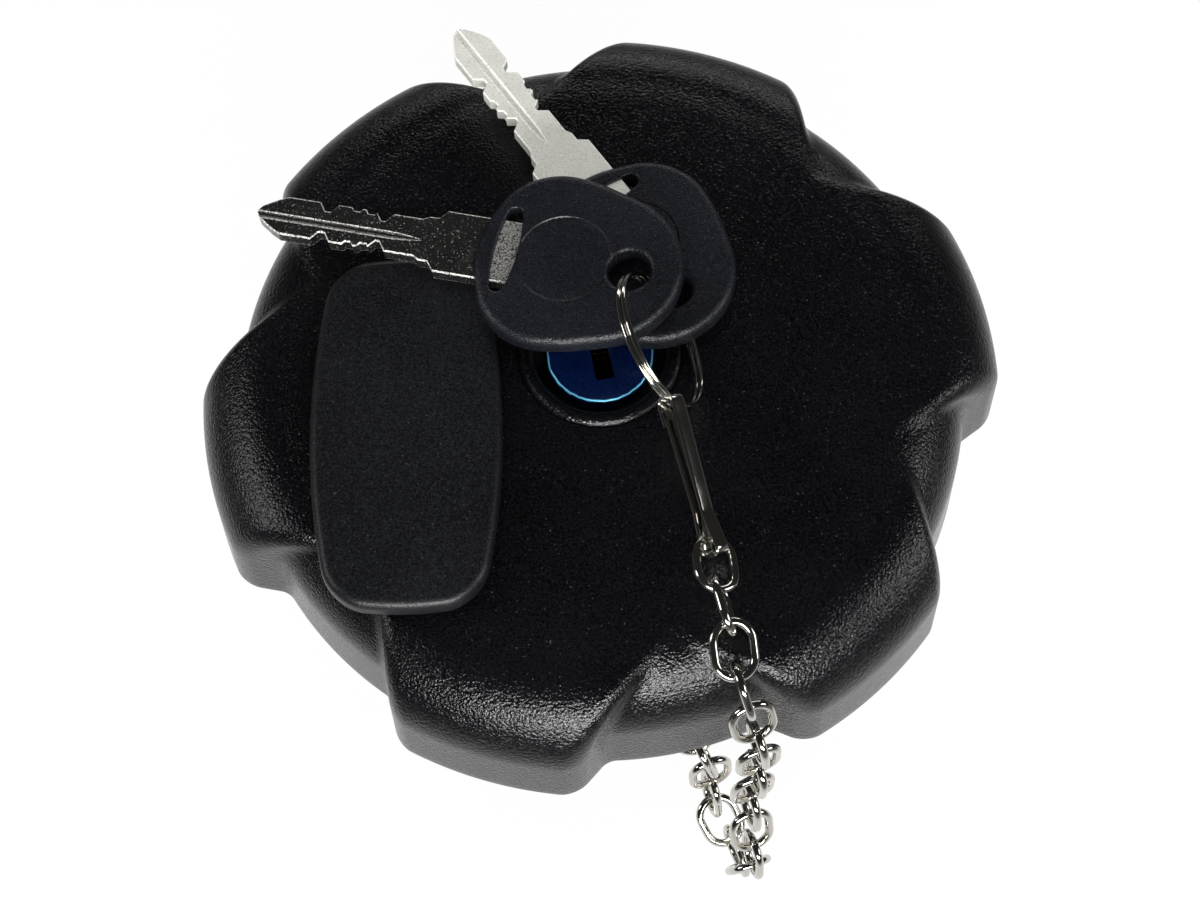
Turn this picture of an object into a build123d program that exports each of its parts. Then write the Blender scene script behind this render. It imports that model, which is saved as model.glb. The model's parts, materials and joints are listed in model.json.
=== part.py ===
"""Lockable filler cap for an 80 mm truck tank neck, with its dust flap, chain and two keys.

Millimetres, +Z up.  The origin is the centre of the foot that the cap stands on when it is
laid down with its grip upwards, and the cap's axis is the Z axis.
"""

import os
from math import ceil, cos, degrees, pi, radians, sin, sqrt, tan

from build123d import *

os.makedirs("parts", exist_ok=True)

# ---- grip shell ----------------------------------------------------------------------
GRIP_R = 58.0            # over the grip lobes
LOBE_REACH = 5.25        # lobes beyond the body between them
GRIP_H = 21.6            # rim to the virtual top edge
CROWN = 2.4              # rise of the domed top
TOP_ROUND = 10.8         # rounding between wall and top
DRAFT = 1.0              # degrees of draft on the wall
WALL = 3.0
LOBES = 6
LOBE_PHASE = 12.0        # azimuth of the first lobe
LOBE_HALF_W = 13.3       # half width of a lobe at its outer corners
FLANK_ANGLE = 24.0       # lean of a lobe's flanks off its own radius
LOBE_CORNER_R = 4.0
RIM_Z = 45.0             # height of the grip's rim above the foot
RIB_T = 2.0
RIBS = 12
BOSS_WALL = 3.0
BEAD_R = 1.2             # section radius of the raised bead round the lock
BEAD_RISE = 0.9
PIVOT_PAD_R = 4.6

# ---- neck spigot, deck and seal --------------------------------------------------------
SPIGOT_R = 33.0
SPIGOT_WALL = 2.5
SPIGOT_Z = 26.0          # lower end of the spigot
DECK_R = 44.0
DECK_T = 2.5
DECK_GAP = 0.3           # ribs of the grip over the deck
DECK_DEPTH = 12.0        # underside of the deck above the rim
SEAL_DEPTH = 5.0         # sealing face above the rim
GASKET_T = 3.4
GASKET_R = 47.5
PLATE_T = 1.2
PLATE_LIP = 1.1
SLEEVE_T = 1.2
SLEEVE_GAP = 0.4
FLOAT_TRAVEL = 1.8       # how far the neck can lift the seal
WAVES = 4
WAVE_T = 0.5
WAVE_W = 4.0
SCREW_CIRCLE = 24.0
SCREW_R = 1.5
SCREWS = 4
SCREW_PHASE = 28.0
SCREW_BITE = 6.0         # handle screws' length above the deck
SCREW_HEAD_T = 2.0
DRIVE_W = 0.8
DRIVE_L = 3.4

# ---- bayonet ---------------------------------------------------------------------------
BAYONET_DROP = 12.0      # sealing face to the top of the ears
BAYONET_T = 2.0
BAYONET_RING_R = 37.0
EAR_R = 43.0
EAR_SPAN = 30.0          # degrees
EAR_AZ = -29.0
LUG_AZ = -74.0
LUG_HOLE_AT = 37.4
LUG_HOLE_R = 1.7
LUG_EDGE = 1.2
SHOULDER = 1.2

# ---- lock --------------------------------------------------------------------------------
BARREL_R = 9.2
PLUG_R = 6.6
FACE_R = 7.6
FACE_T = 3.0
FACE_SINK = 0.3          # face below the crown of the dome
LOCK_FIT = 0.05
KEYWAY_W = 2.6
KEYWAY_L = 8.0
KEYWAY_LEAN = 10.0       # degrees, key slot off the Y axis
PLUG_FOOT_Z = 40.0
TANG = 7.0
CAM_R = 15.2
CAM_T = 3.0
CAM_PIN_OUT = 12.0       # follower pin's radius with the bolts out
BOLT_THROW = 4.0
LOCK_TURN = 90.0
FOLLOWER_R = 1.4
FOLLOWER_GAP = 0.12
BOLT_W = 9.0
BOLT_T = 4.0
BOLT_OUT = 41.5          # tip radius with the bolts out
BOLT_AZ = 61.0
BOLT_GAP = 0.25
BOLT_DROP = 1.8          # top of the bolts under the bayonet plate, clear of its clip
CARRIER_T = 2.6
RAIL_T = 1.4
WAFERS = 5
WAFER_T = 1.0

# ---- vent cage ---------------------------------------------------------------------------
CAGE_R = 27.0
CAGE_WALL = 2.0
CAGE_FLOOR = 2.2
CAGE_FLANGE = 3.0
CAGE_WINDOWS = 8
WINDOW_W = 9.0
WINDOW_Z = (6.0, 15.5)
SEAT_Z = 18.0
SEAT_T = 2.0
SEAT_HOLE_R = 5.0
BALL_R = 6.5
FLOOR_HOLES = 6
VENT_DISC_R = 8.0
VENT_TRAVEL = 2.5

# ---- dust flap ---------------------------------------------------------------------------
FLAP_L = 54.0
FLAP_END_HALF = 10.4
FLAP_MID_HALF = 13.35
FLAP_BULGE = 1.2
FLAP_TAIL = 7.0          # flap beyond its pivot
FLAP_T = 3.0
FLAP_GAP = 0.3           # over the bead round the lock
FLAP_CORNER = 4.6
FLAP_AT = (-27.1, 6.8)   # pivot
PIN_R = 1.95
PIN_HOLE_R = 2.0

# ---- keys, ring, snap clip and chain -----------------------------------------------------
KEY_REACH = 54.3         # ring hole to blade tip
HEAD_T = 3.8
HEAD_BACK = 7.45         # bow behind the ring hole
HEAD_R = 11.7
HEAD_SIDE_R = 13.1
HEAD_SIDE_AT = 9.0
HEAD_CORNER_R = 9.95
HEAD_CORNER_AT = (11.1, 3.5)
HEAD_EDGE = 1.2          # rounding of the bow's edges
HEAD_HOLE_R = 3.0
HEAD_HOLE_EDGE = 0.5
WINDOW_AT = 17.7         # middle of the lens-shaped window in the bow
WINDOW_HALF = (1.8, 6.7)
WINDOW_TIP_R = 0.5
HEAD_LINE_R = 6.6        # fine ring line on the bow
HEAD_LINE_AT = 9.3
HEAD_LINE_W = 0.16
BLADE_T = 2.2
BLADE_HALF = 3.05
SHOULDER_HALF = 4.9
SHOULDER_AT = 27.0
COLLAR_HALF = 3.6
COLLAR_AT = 29.7
SHANK_END = 13.0
TIP_L = 3.9              # pointed length of the blade
GROOVE_W = 1.2
GROOVE_DEPTH = 0.6
GROOVE_OFF = 0.4         # groove's offset from the blade's middle
BIT_FIRST = 43.6
BIT_PITCH = 2.03
BIT_FLAT = 0.3           # half the flat at the bottom of a cut
BIT_RISE = 0.5           # run of a cut's ramp to its depth
BIT_DEPTHS = (1.5, 0.1, 0.7, 0.5, 1.5)
KEY_1 = dict(hole=(4.4, 6.65, 34.4), azimuth=165.5, dip=0.084)
KEY_2 = dict(hole=(10.1, 6.25, 29.2), azimuth=123.5, dip=0.045)
RING_AT = (8.35, -2.9, 33.25)
RING_NORMAL = (0.851, 0.164, 0.498)
RING_R = 9.9
RING_WIRE = 0.76
RING_PITCH = 0.8
RING_TURNS = 1.9
LINK_L = 8.9
LINK_W = 6.8
LINK_WIRE = 1.25
WIRE_SIDES = 8
LINK_SLACK = 0.1
# Chain routes through the links' contact points: x and y in shares of RECESS_R, z above the rim.
CHAIN_TOP = [(0.278, -0.581, 26.8), (0.288, -0.696, 27.2), (0.315, -0.811, 27.3),
             (0.328, -0.918, 24.5), (0.36, -0.988, 19.8)]
CHAIN_HANG = [(0.36, -0.988, 19.8), (0.387, -1.024, 11.5), (0.394, -1.035, 1.9),
              (0.385, -1.064, -16.3), (0.394, -1.141, -30.5), (0.37, -1.088, -35.6),
              (0.366, -1.07, -36.1), (0.298, -0.948, -33.4), (0.288, -0.893, -22.5),
              (0.235, -0.857, -13.5), (0.195, -0.696, -8.2)]
LYING_ROLLS = (24, 75, 4, 82)   # degrees, links on the grip
HANGING_ROLLS = (0, 90)
CLIP_TOP = (9.45, -12.75, 33.9)
CLIP_STRIP = 0.6
CLIP_WIDTH = 2.3
CLIP_TILT = 55.0         # degrees, lean of the clip's side

# ---- derived levels ------------------------------------------------------------------------
RECESS_R = GRIP_R - LOBE_REACH
DECK_Z = RIM_Z + DECK_DEPTH
SEAL_Z = RIM_Z + SEAL_DEPTH
PLATE_Z = SEAL_Z + GASKET_T
EAR_TOP_Z = SEAL_Z - BAYONET_DROP
EAR_Z = EAR_TOP_Z - BAYONET_T
DOME_R = (RECESS_R ** 2 + CROWN ** 2) / (2 * CROWN)
LINK_PITCH = LINK_L - 2 * LINK_WIRE - LINK_SLACK


def dome(r):
    """Height of the grip's domed top above the rim at radius r."""
    return GRIP_H + CROWN - DOME_R + sqrt(DOME_R ** 2 - r ** 2)


def polar(r, azimuth, z=0.0):
    """Point at a radius, an azimuth in degrees and a height."""
    return (r * cos(radians(azimuth)), r * sin(radians(azimuth)), z)


def tube(r_out, r_in, z0, z1):
    """Plain ring between two radii and two heights."""
    with BuildSketch(Plane.XY.offset(z0)) as ring:
        Circle(r_out)
        Circle(r_in, mode=Mode.SUBTRACT)
    return extrude(ring.sketch, z1 - z0)


def disc(r, z0, z1, at=(0, 0)):
    """Solid round between two heights."""
    return Pos(at[0], at[1], z0) * Cylinder(r, z1 - z0, align=(Align.CENTER, Align.CENTER, Align.MIN))


def slab(size_x, size_y, z0, z1):
    """Block centred on the axis between two heights."""
    return Pos(0, 0, z0) * Box(size_x, size_y, z1 - z0, align=(Align.CENTER, Align.CENTER, Align.MIN))


def helix_spring(radius, wire_r, z0, z1, turns):
    """Open coil spring between two heights, wire centres a wire radius inside them."""
    height = z1 - z0 - 2 * wire_r
    path = Pos(0, 0, z0 + wire_r) * Helix(pitch=height / turns, height=height, radius=radius)
    section = Plane(origin=path @ 0, z_dir=path % 0) * Circle(wire_r)
    return sweep(section, path=path)


# ---- grip ------------------------------------------------------------------------------------
def grip_form(radius, inset=0.0, bead=False):
    """Turned form of the grip at one outer radius, taken in by inset all over."""
    top_r = radius - inset - GRIP_H * tan(radians(DRAFT))
    with BuildSketch() as half:
        with BuildLine():
            foot = Line((0, -inset), (radius - inset, -inset))
            wall = Line(foot @ 1, (top_r, dome(top_r) - inset))
            top = ThreePointArc(wall @ 1, (top_r / 2, dome(top_r / 2) - inset), (0, dome(0) - inset))
            Line(top @ 1, foot @ 0)
        make_face()
        corner = half.vertices().sort_by_distance(Vector(top_r, dome(top_r) - inset))[0]
        fillet(corner, TOP_ROUND - inset)
        if bead:
            bead_mid = BARREL_R + BEAD_R + 0.1
            with Locations((bead_mid, dome(bead_mid) + BEAD_RISE - BEAD_R)):
                Circle(BEAD_R)
    return Pos(0, 0, RIM_Z) * revolve(Plane.XZ * half.sketch, axis=Axis.Z)


def lobe_block(inset=0.0):
    """Tapered block that cuts one lobe out of the turned form."""
    lean = tan(radians(FLANK_ANGLE))
    x_out = sqrt(GRIP_R ** 2 - LOBE_HALF_W ** 2)
    x_in = RECESS_R - TOP_ROUND - 2 * WALL
    x_far = GRIP_R + WALL
    side = inset / cos(radians(FLANK_ANGLE))
    y_in = LOBE_HALF_W + (x_out - x_in) * lean - side
    y_far = LOBE_HALF_W - (x_far - x_out) * lean - side
    with BuildSketch() as plan:
        with BuildLine():
            Polyline((x_in, -y_in), (x_far, -y_far), (x_far, y_far), (x_in, y_in), close=True)
        make_face()
        Circle(GRIP_R - inset, mode=Mode.INTERSECT)
        outer = plan.vertices().sort_by(Axis.X)[-2:]
        fillet(outer, LOBE_CORNER_R - inset / 2)
    return Pos(0, 0, RIM_Z - WALL) * extrude(plan.sketch, GRIP_H + CROWN + 3 * WALL)


def lobed_form(inset=0.0, bead=False):
    """Grip body with its lobes, taken in by inset all over."""
    form = grip_form(RECESS_R, inset, bead)
    full = grip_form(GRIP_R, inset)
    block = lobe_block(inset)
    for k in range(LOBES):
        form += full & (Rot(0, 0, LOBE_PHASE + k * 360 / LOBES) * block)
    return form


def cap_handle():
    """Moulded grip: ribbed shell, lock boss, screw posts, lock bead and pivot pad."""
    inner_top = DECK_Z + DECK_T + DECK_GAP
    shell = lobed_form(0, bead=True) - lobed_form(WALL)
    core = grip_form(RECESS_R, WALL / 2) & slab(3 * GRIP_R, 3 * GRIP_R, inner_top, RIM_Z + GRIP_H + CROWN)
    posts = disc(BARREL_R + BOSS_WALL, 0, 2 * RIM_Z)
    for k in range(RIBS):
        rib = Pos(GRIP_R / 2, 0, RIM_Z) * Box(GRIP_R, RIB_T, 2 * RIM_Z)
        posts += Rot(0, 0, SCREW_PHASE + k * 360 / RIBS) * rib
    for k in range(SCREWS):
        posts += disc(SCREW_R + 2, 0, 2 * RIM_Z, polar(SCREW_CIRCLE, SCREW_PHASE + k * 360 / SCREWS))
    shell += core & posts
    pad_top = flap_z() - FLAP_GAP
    shell += disc(PIVOT_PAD_R, RIM_Z + dome(0) - CROWN - WALL / 2, pad_top, FLAP_AT)
    shell -= disc(BARREL_R + LOCK_FIT, 0, 2 * RIM_Z)
    shell -= disc(PIN_HOLE_R, 0, 2 * RIM_Z, FLAP_AT)
    for k in range(SCREWS):
        at = polar(SCREW_CIRCLE, SCREW_PHASE + k * 360 / SCREWS)
        shell -= disc(SCREW_R, 0, inner_top + SCREW_BITE + 0.5, at)
    return shell


def handle_screws():
    """Four pan-head screws that hold the spigot's deck to the grip."""
    group = []
    for k in range(SCREWS):
        at = polar(SCREW_CIRCLE, SCREW_PHASE + k * 360 / SCREWS)
        screw = disc(SCREW_R - 0.05, DECK_Z - 0.5, DECK_Z + DECK_T + DECK_GAP + SCREW_BITE, at)
        screw += disc(2 * SCREW_R, DECK_Z - SCREW_HEAD_T, DECK_Z, at)
        drive = Pos(at[0], at[1], DECK_Z - SCREW_HEAD_T)
        screw -= drive * Box(DRIVE_W, DRIVE_L, 2 * DRIVE_W)
        screw -= drive * Box(DRIVE_L, DRIVE_W, 2 * DRIVE_W)
        group.append(screw)
    return group


# ---- spigot, seal and bayonet ------------------------------------------------------------------
def spigot_body():
    """Moulded spigot: deck, wall, lock collar, retaining beads, bolt windows and posts."""
    body = tube(SPIGOT_R, SPIGOT_R - SPIGOT_WALL, SPIGOT_Z, DECK_Z)
    body += tube(DECK_R, BARREL_R + LOCK_FIT, DECK_Z, DECK_Z + DECK_T)
    body += tube(BARREL_R + SPIGOT_WALL, BARREL_R + LOCK_FIT, SEAL_Z, DECK_Z)
    body += tube(SPIGOT_R + SHOULDER, SPIGOT_R - SPIGOT_WALL, EAR_TOP_Z, EAR_TOP_Z + SHOULDER)
    body += tube(SPIGOT_R + SHOULDER, SPIGOT_R - SPIGOT_WALL, SEAL_Z - SHOULDER, SEAL_Z)
    for side in (0, 180):
        post = disc(3.2, carrier_z() + CARRIER_T, DECK_Z, polar(CAGE_R - 0.4, EAR_AZ + side))
        body += post
        body -= disc(SCREW_R, 0, carrier_z() + 12, polar(CAGE_R - 0.4, EAR_AZ + side))
        window = Rot(0, 0, BOLT_AZ + side) * Pos(SPIGOT_R, 0, bolt_z() + BOLT_T / 2)
        body -= window * Box(4 * SPIGOT_WALL, BOLT_W + 2 * BOLT_GAP, BOLT_T + 2 * BOLT_GAP)
    for k in range(SCREWS):
        at = polar(SCREW_CIRCLE, SCREW_PHASE + k * 360 / SCREWS)
        body -= disc(SCREW_R + 0.2, DECK_Z - 1, DECK_Z + DECK_T + 1, at)
    groove = tube(SPIGOT_R + 1, SPIGOT_R - 0.8, EAR_Z - 1.0, EAR_Z)
    return body - groove


def gasket():
    """Flat rubber seal with two grooves in its outer face."""
    inner = SPIGOT_R + SLEEVE_GAP + SLEEVE_T + 0.05
    seal = tube(GASKET_R, inner, SEAL_Z, PLATE_Z)
    for r in (inner + 3.0, GASKET_R - 3.0):
        seal -= tube(r + 0.5, r - 0.5, SEAL_Z - 1, SEAL_Z + 0.6)
    return seal


def pressure_plate():
    """Pressed steel dish that carries the gasket and floats under the deck."""
    r_in = SPIGOT_R + SLEEVE_GAP
    plate = tube(GASKET_R + PLATE_LIP, r_in, PLATE_Z, PLATE_Z + PLATE_T)
    plate += tube(r_in + SLEEVE_T, r_in, SEAL_Z + 0.2, PLATE_Z)
    plate += tube(GASKET_R + PLATE_LIP, GASKET_R + 0.05, SEAL_Z + 1.6, PLATE_Z)
    return plate


def wave_spring():
    """Open wave washer between the pressure plate and the deck."""
    r_mid = (SPIGOT_R + DECK_R) / 2 + 0.5
    low = PLATE_Z + PLATE_T + 0.05
    high = DECK_Z - 0.05
    swing = (high - low - WAVE_T) / 2
    steps = WAVES * 8
    gap = radians(8)

    def edge(side, level):
        points = []
        for k in range(steps + 1):
            turn = gap / 2 + (2 * pi - gap) * k / steps
            z = (low + high) / 2 + level * WAVE_T / 2 + swing * cos(WAVES * turn)
            points.append(polar(r_mid + side * WAVE_W / 2, degrees(turn), z))
        return Spline(*points)

    rails = [edge(-1, -1), edge(1, -1), edge(1, 1), edge(-1, 1)]
    faces = [Face.make_surface_from_curves(rails[k - 1], rails[k]) for k in range(4)]
    for end in (0, 1):
        faces.append(Face(Wire.make_polygon([rail @ end for rail in rails], close=True)))
    return Solid(Shell(faces))


def sector(r, span, z0, z1):
    """Pie slice about +X between two heights."""
    edge = radians(span / 2)
    with BuildSketch(Plane.XY.offset(z0)) as pie:
        with BuildLine():
            a = Line((0, 0), (r * cos(edge), -r * sin(edge)))
            b = ThreePointArc(a @ 1, (r, 0), (r * cos(edge), r * sin(edge)))
            Line(b @ 1, (0, 0))
        make_face()
    return extrude(pie.sketch, z1 - z0)


def bayonet_plate():
    """Steel ring with two bayonet ears and the lug that the chain hangs from."""
    ring = tube(BAYONET_RING_R, SPIGOT_R + LOCK_FIT, EAR_Z, EAR_TOP_Z)
    bore = disc(SPIGOT_R + LOCK_FIT, 0, RIM_Z)
    for side in (0, 180):
        ring += Rot(0, 0, EAR_AZ + side) * sector(EAR_R, EAR_SPAN, EAR_Z, EAR_TOP_Z) - bore
    hole = polar(LUG_HOLE_AT, LUG_AZ)
    ring += disc(LUG_HOLE_R + LUG_EDGE, EAR_Z, EAR_TOP_Z, hole)
    return ring - disc(LUG_HOLE_R, 0, RIM_Z, hole)


def bayonet_circlip():
    """Spring ring in its groove under the bayonet plate, open at one side."""
    clip = tube(SPIGOT_R + 1.1, SPIGOT_R - 0.75, EAR_Z - 0.95, EAR_Z - 0.05)
    return clip - Rot(0, 0, EAR_AZ + 90) * Pos(SPIGOT_R, 0, EAR_Z) * Box(8, 6, 8)


# ---- lock --------------------------------------------------------------------------------------
def face_top_z():
    """Top of the lock's face."""
    return RIM_Z + dome(0) - FACE_SINK


def barrel_top_z():
    """Top of the lock barrel, seen as the dark ring round the face."""
    return face_top_z() - FACE_T - 0.1


def cam_z():
    """Underside of the cam disc."""
    return bolt_z() + BOLT_T + 0.5


def bolt_z():
    """Underside of the bolts."""
    return EAR_Z - BOLT_DROP - BOLT_T


def carrier_z():
    """Underside of the bolt carrier."""
    return bolt_z() - BOLT_GAP / 2 - CARRIER_T


def keyway(z0, z1):
    """Key slot between two heights."""
    return Rot(0, 0, KEYWAY_LEAN) * slab(KEYWAY_W, KEYWAY_L, z0, z1)


def lock_barrel():
    """Die-cast lock housing with two wafer channels."""
    top = barrel_top_z()
    barrel = tube(BARREL_R, PLUG_R + LOCK_FIT, PLUG_FOOT_Z + 1, top)
    channel = Rot(0, 0, KEYWAY_LEAN) * slab(5.4, 2 * (BARREL_R - 1.4), PLUG_FOOT_Z + 4, top - 3)
    return barrel - channel


def wafer_levels():
    """Heights of the wafers, where a seated key's cuts would lie."""
    return [face_top_z() - (BIT_FIRST - k * BIT_PITCH - SHOULDER_AT) for k in range(WAFERS)]


def lock_plug():
    """Turning plug: key slot, wafer slots and the square tang that drives the cam."""
    top = barrel_top_z() + 0.1
    plug = disc(PLUG_R, PLUG_FOOT_Z, top)
    plug += disc(PLUG_R - 1.1, top, top + 1.3)
    plug += slab(TANG, TANG, cam_z(), PLUG_FOOT_Z)
    plug -= keyway(PLUG_FOOT_Z + 2, top + 2)
    for z in wafer_levels():
        slot = Rot(0, 0, KEYWAY_LEAN) * slab(5.2, 3 * PLUG_R, z, z + WAFER_T + 0.1)
        plug -= slot & disc(PLUG_R + 1, 0, 2 * RIM_Z)
    return plug


def lock_wafers():
    """Five wafers in the plug, each a small plate with a window for the key."""
    group = []
    for z in wafer_levels():
        plate = slab(5.0, 2 * PLUG_R - 1.2, z + 0.05, z + 0.05 + WAFER_T)
        plate -= slab(KEYWAY_W + 0.2, KEYWAY_L + 0.2, z - 1, z + 3)
        group.append(Rot(0, 0, KEYWAY_LEAN) * plate)
    return group


def lock_face():
    """Face cap of the plug with the key slot and a fine edge round."""
    top = face_top_z()
    face = disc(FACE_R, top - FACE_T, top)
    face = fillet(face.edges().group_by(Axis.Z)[-1], 0.4)
    face -= disc(PLUG_R - 1.05, top - FACE_T - 1, top - FACE_T + 1.35)
    return face - keyway(0, 2 * RIM_Z)


def cam_slot():
    """Archimedean slot: its radius falls in step with the lock's turn."""
    margin = 4.0
    steps = 6
    points = []
    for k in range(steps + 1):
        turn = -margin + k * (LOCK_TURN + 2 * margin) / steps
        points.append(polar(CAM_PIN_OUT - BOLT_THROW * turn / LOCK_TURN, BOLT_AZ - turn))
    with BuildSketch() as band:
        with BuildLine():
            Spline(*points)
        trace(line_width=2 * (FOLLOWER_R + FOLLOWER_GAP))
        with Locations(points[0], points[-1]):
            Circle(FOLLOWER_R + FOLLOWER_GAP)
    return extrude(Plane.XY.offset(cam_z() - 1) * band.sketch, CAM_T + 2)


def lock_cam():
    """Scroll cam: a disc with a square eye and two spiral slots."""
    cam = disc(CAM_R, cam_z(), cam_z() + CAM_T)
    cam -= slab(TANG, TANG, cam_z() - 1, cam_z() + CAM_T + 1)
    slot = cam_slot()
    return cam - slot - Rot(0, 0, 180) * slot


def lock_bolt(azimuth):
    """Flat bolt with a beveled nose and a follower pin that rides in the cam's slot."""
    z = bolt_z()
    inner = BOLT_THROW + 0.6
    with BuildSketch(Plane.XY.offset(z)) as plan:
        with Locations(((BOLT_OUT + inner) / 2, 0)):
            Rectangle(BOLT_OUT - inner, BOLT_W)
        chamfer(plan.vertices().sort_by(Axis.X)[-2:], 1.5)
    bolt = extrude(plan.sketch, BOLT_T)
    bolt += disc(FOLLOWER_R, z + BOLT_T, cam_z() + CAM_T - 0.2, (CAM_PIN_OUT, 0))
    return Rot(0, 0, azimuth) * bolt


def bolt_carrier():
    """Plate under the bolts with the rails that guide them."""
    z = carrier_z()
    plate = disc(SPIGOT_R - SPIGOT_WALL - 0.1, z, z + CARRIER_T)
    guide = slab(2 * (CAGE_R - 6), BOLT_W + 2 * (BOLT_GAP + RAIL_T), z + CARRIER_T, z + CARRIER_T + BOLT_T)
    guide -= slab(3 * CAGE_R, BOLT_W + 2 * BOLT_GAP, z + CARRIER_T, z + CARRIER_T + 2 * BOLT_T)
    plate += Rot(0, 0, BOLT_AZ) * guide
    for side in (0, 180):
        plate -= disc(SCREW_R + 0.2, 0, RIM_Z, polar(CAGE_R - 0.4, EAR_AZ + side))
    return plate


# ---- vent cage -----------------------------------------------------------------------------------
def vent_cage():
    """Foot of the cap: windowed cage, floor holes and the vent's seat."""
    top = carrier_z()
    cage = tube(CAGE_R, CAGE_R - CAGE_WALL, 0, top - CAGE_FLANGE)
    cage += tube(SPIGOT_R - SPIGOT_WALL - 0.1, SEAT_HOLE_R + 6, top - CAGE_FLANGE, top)
    cage += disc(CAGE_R, 0, CAGE_FLOOR)
    cage += tube(CAGE_R, SEAT_HOLE_R, SEAT_Z, SEAT_Z + SEAT_T)
    for k in range(CAGE_WINDOWS):
        z0, z1 = WINDOW_Z
        window = Pos(CAGE_R, 0, (z0 + z1) / 2) * Box(4 * CAGE_WALL, WINDOW_W, z1 - z0)
        cage -= Rot(0, 0, k * 360 / CAGE_WINDOWS) * window
    for k in range(FLOOR_HOLES):
        cage -= disc(3.0, -1, CAGE_FLOOR + 1, polar(CAGE_R * 0.62, k * 360 / FLOOR_HOLES))
    for side in (0, 180):
        at = polar(CAGE_R - 0.4, EAR_AZ + side)
        cage -= disc(SCREW_R + 0.2, top - CAGE_FLANGE - 1, RIM_Z, at)
        cage -= disc(3.3, SEAT_Z + SEAT_T, top - CAGE_FLANGE, at)
    return cage


def cage_screws():
    """Two screws that clamp cage and bolt carrier up against the spigot's posts."""
    group = []
    z = carrier_z() - CAGE_FLANGE
    for side in (0, 180):
        at = polar(CAGE_R - 0.4, EAR_AZ + side)
        screw = disc(SCREW_R - 0.05, z - 0.5, carrier_z() + 11, at)
        screw += disc(3.0, z - 1.8, z, at)
        group.append(screw - Pos(at[0], at[1], z - 1.8) * Box(0.8, 3.6, 1.4))
    return group


def vent_disc():
    """Valve disc that lifts off its seat, with a stem for the spring."""
    z = SEAT_Z + SEAT_T + 1.05
    valve = disc(VENT_DISC_R, z, z + 1.2)
    return valve + disc(2.2, z + 1.2, z + 2.6)


def vent_seal():
    """Rubber ring between the valve disc and its seat."""
    z = SEAT_Z + SEAT_T + 0.05
    return tube(VENT_DISC_R - 0.4, SEAT_HOLE_R + 0.4, z, z + 1.0)


def vent_spring():
    """Light coil spring over the valve disc."""
    return helix_spring(3.2, 0.3, SEAT_Z + SEAT_T + 2.3, carrier_z() - 0.05, 2.5)


# ---- dust flap -------------------------------------------------------------------------------------
def flap_z():
    """Underside of the flap."""
    return RIM_Z + dome(0) + BEAD_RISE + FLAP_GAP


def dust_flap():
    """Barrel-shaped swinging flap, hollowed beneath, lying open beside the lock."""
    top_y = FLAP_TAIL
    low_y = FLAP_TAIL - FLAP_L
    mid_y = (top_y + low_y) / 2
    with BuildSketch(Plane.XY.offset(flap_z())) as plan:
        with BuildLine():
            a = (FLAP_END_HALF, top_y - FLAP_BULGE)
            b = (FLAP_END_HALF, low_y + FLAP_BULGE)
            c = (-FLAP_END_HALF, low_y + FLAP_BULGE)
            d = (-FLAP_END_HALF, top_y - FLAP_BULGE)
            ThreePointArc(a, (FLAP_MID_HALF, mid_y), b)
            ThreePointArc(b, (0, low_y), c)
            ThreePointArc(c, (-FLAP_MID_HALF, mid_y), d)
            ThreePointArc(d, (0, top_y), a)
        make_face()
        fillet(plan.vertices(), FLAP_CORNER)
    flap = extrude(plan.sketch, FLAP_T)
    flap = fillet(flap.edges().group_by(Axis.Z)[-1], 1.4)
    with BuildSketch(Plane.XY.offset(flap_z())) as pocket:
        with Locations((0, mid_y - PIVOT_PAD_R)):
            RectangleRounded(2 * FLAP_END_HALF - 3, FLAP_L - 2 * PIVOT_PAD_R - 6, 3)
    flap -= extrude(pocket.sketch, FLAP_T / 3)
    flap -= disc(PIN_R, flap_z(), flap_z() + FLAP_T / 3)
    flap -= disc(PIN_R + 1.6, flap_z() + FLAP_T / 3, flap_z() + 2 * FLAP_T / 3)
    return Pos(FLAP_AT[0], FLAP_AT[1], 0) * flap


def flap_pin():
    """Pivot rivet moulded into the flap, with a groove for its clip."""
    head = flap_z() + FLAP_T / 3
    pin = disc(PIN_R, flap_under_z() - 5.0, head)
    pin += disc(PIN_R + 1.6, head, head + FLAP_T / 3)
    pin -= tube(PIN_R + 1, PIN_R - 0.5, flap_under_z() - 3.9, flap_under_z() - 3.1)
    return Pos(FLAP_AT[0], FLAP_AT[1], 0) * pin


def flap_under_z():
    """Underside of the grip's top at the pivot, less the dome's slope across the spring."""
    r = sqrt(FLAP_AT[0] ** 2 + FLAP_AT[1] ** 2) + 4
    return RIM_Z + dome(r) - WALL


def flap_spring():
    """Short coil spring that pulls the flap down and gives its friction."""
    spring = helix_spring(PIN_R + 0.75, 0.35, flap_under_z() - 3.05, flap_under_z() - 0.05, 2.5)
    return Pos(FLAP_AT[0], FLAP_AT[1], 0) * spring


def flap_clip():
    """Open retaining clip in the pin's groove."""
    z = flap_under_z() - 3.1
    clip = tube(4.0, PIN_R - 0.45, z - 0.75, z - 0.05)
    clip -= Pos(4, 0, z) * Box(8, 2.4, 4)
    return Pos(FLAP_AT[0], FLAP_AT[1], 0) * clip


# ---- keys --------------------------------------------------------------------------------------------
def key_plane(key):
    """Plane of a key: X along the blade, origin at the ring hole in the head's mid plane."""
    x, y, z = key["hole"]
    along = Vector(*polar(1, key["azimuth"], -key["dip"]))
    side = Vector(*polar(1, key["azimuth"] + 90))
    return Plane(origin=(x, y, z + RIM_Z), x_dir=along, z_dir=along.cross(side))


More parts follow.
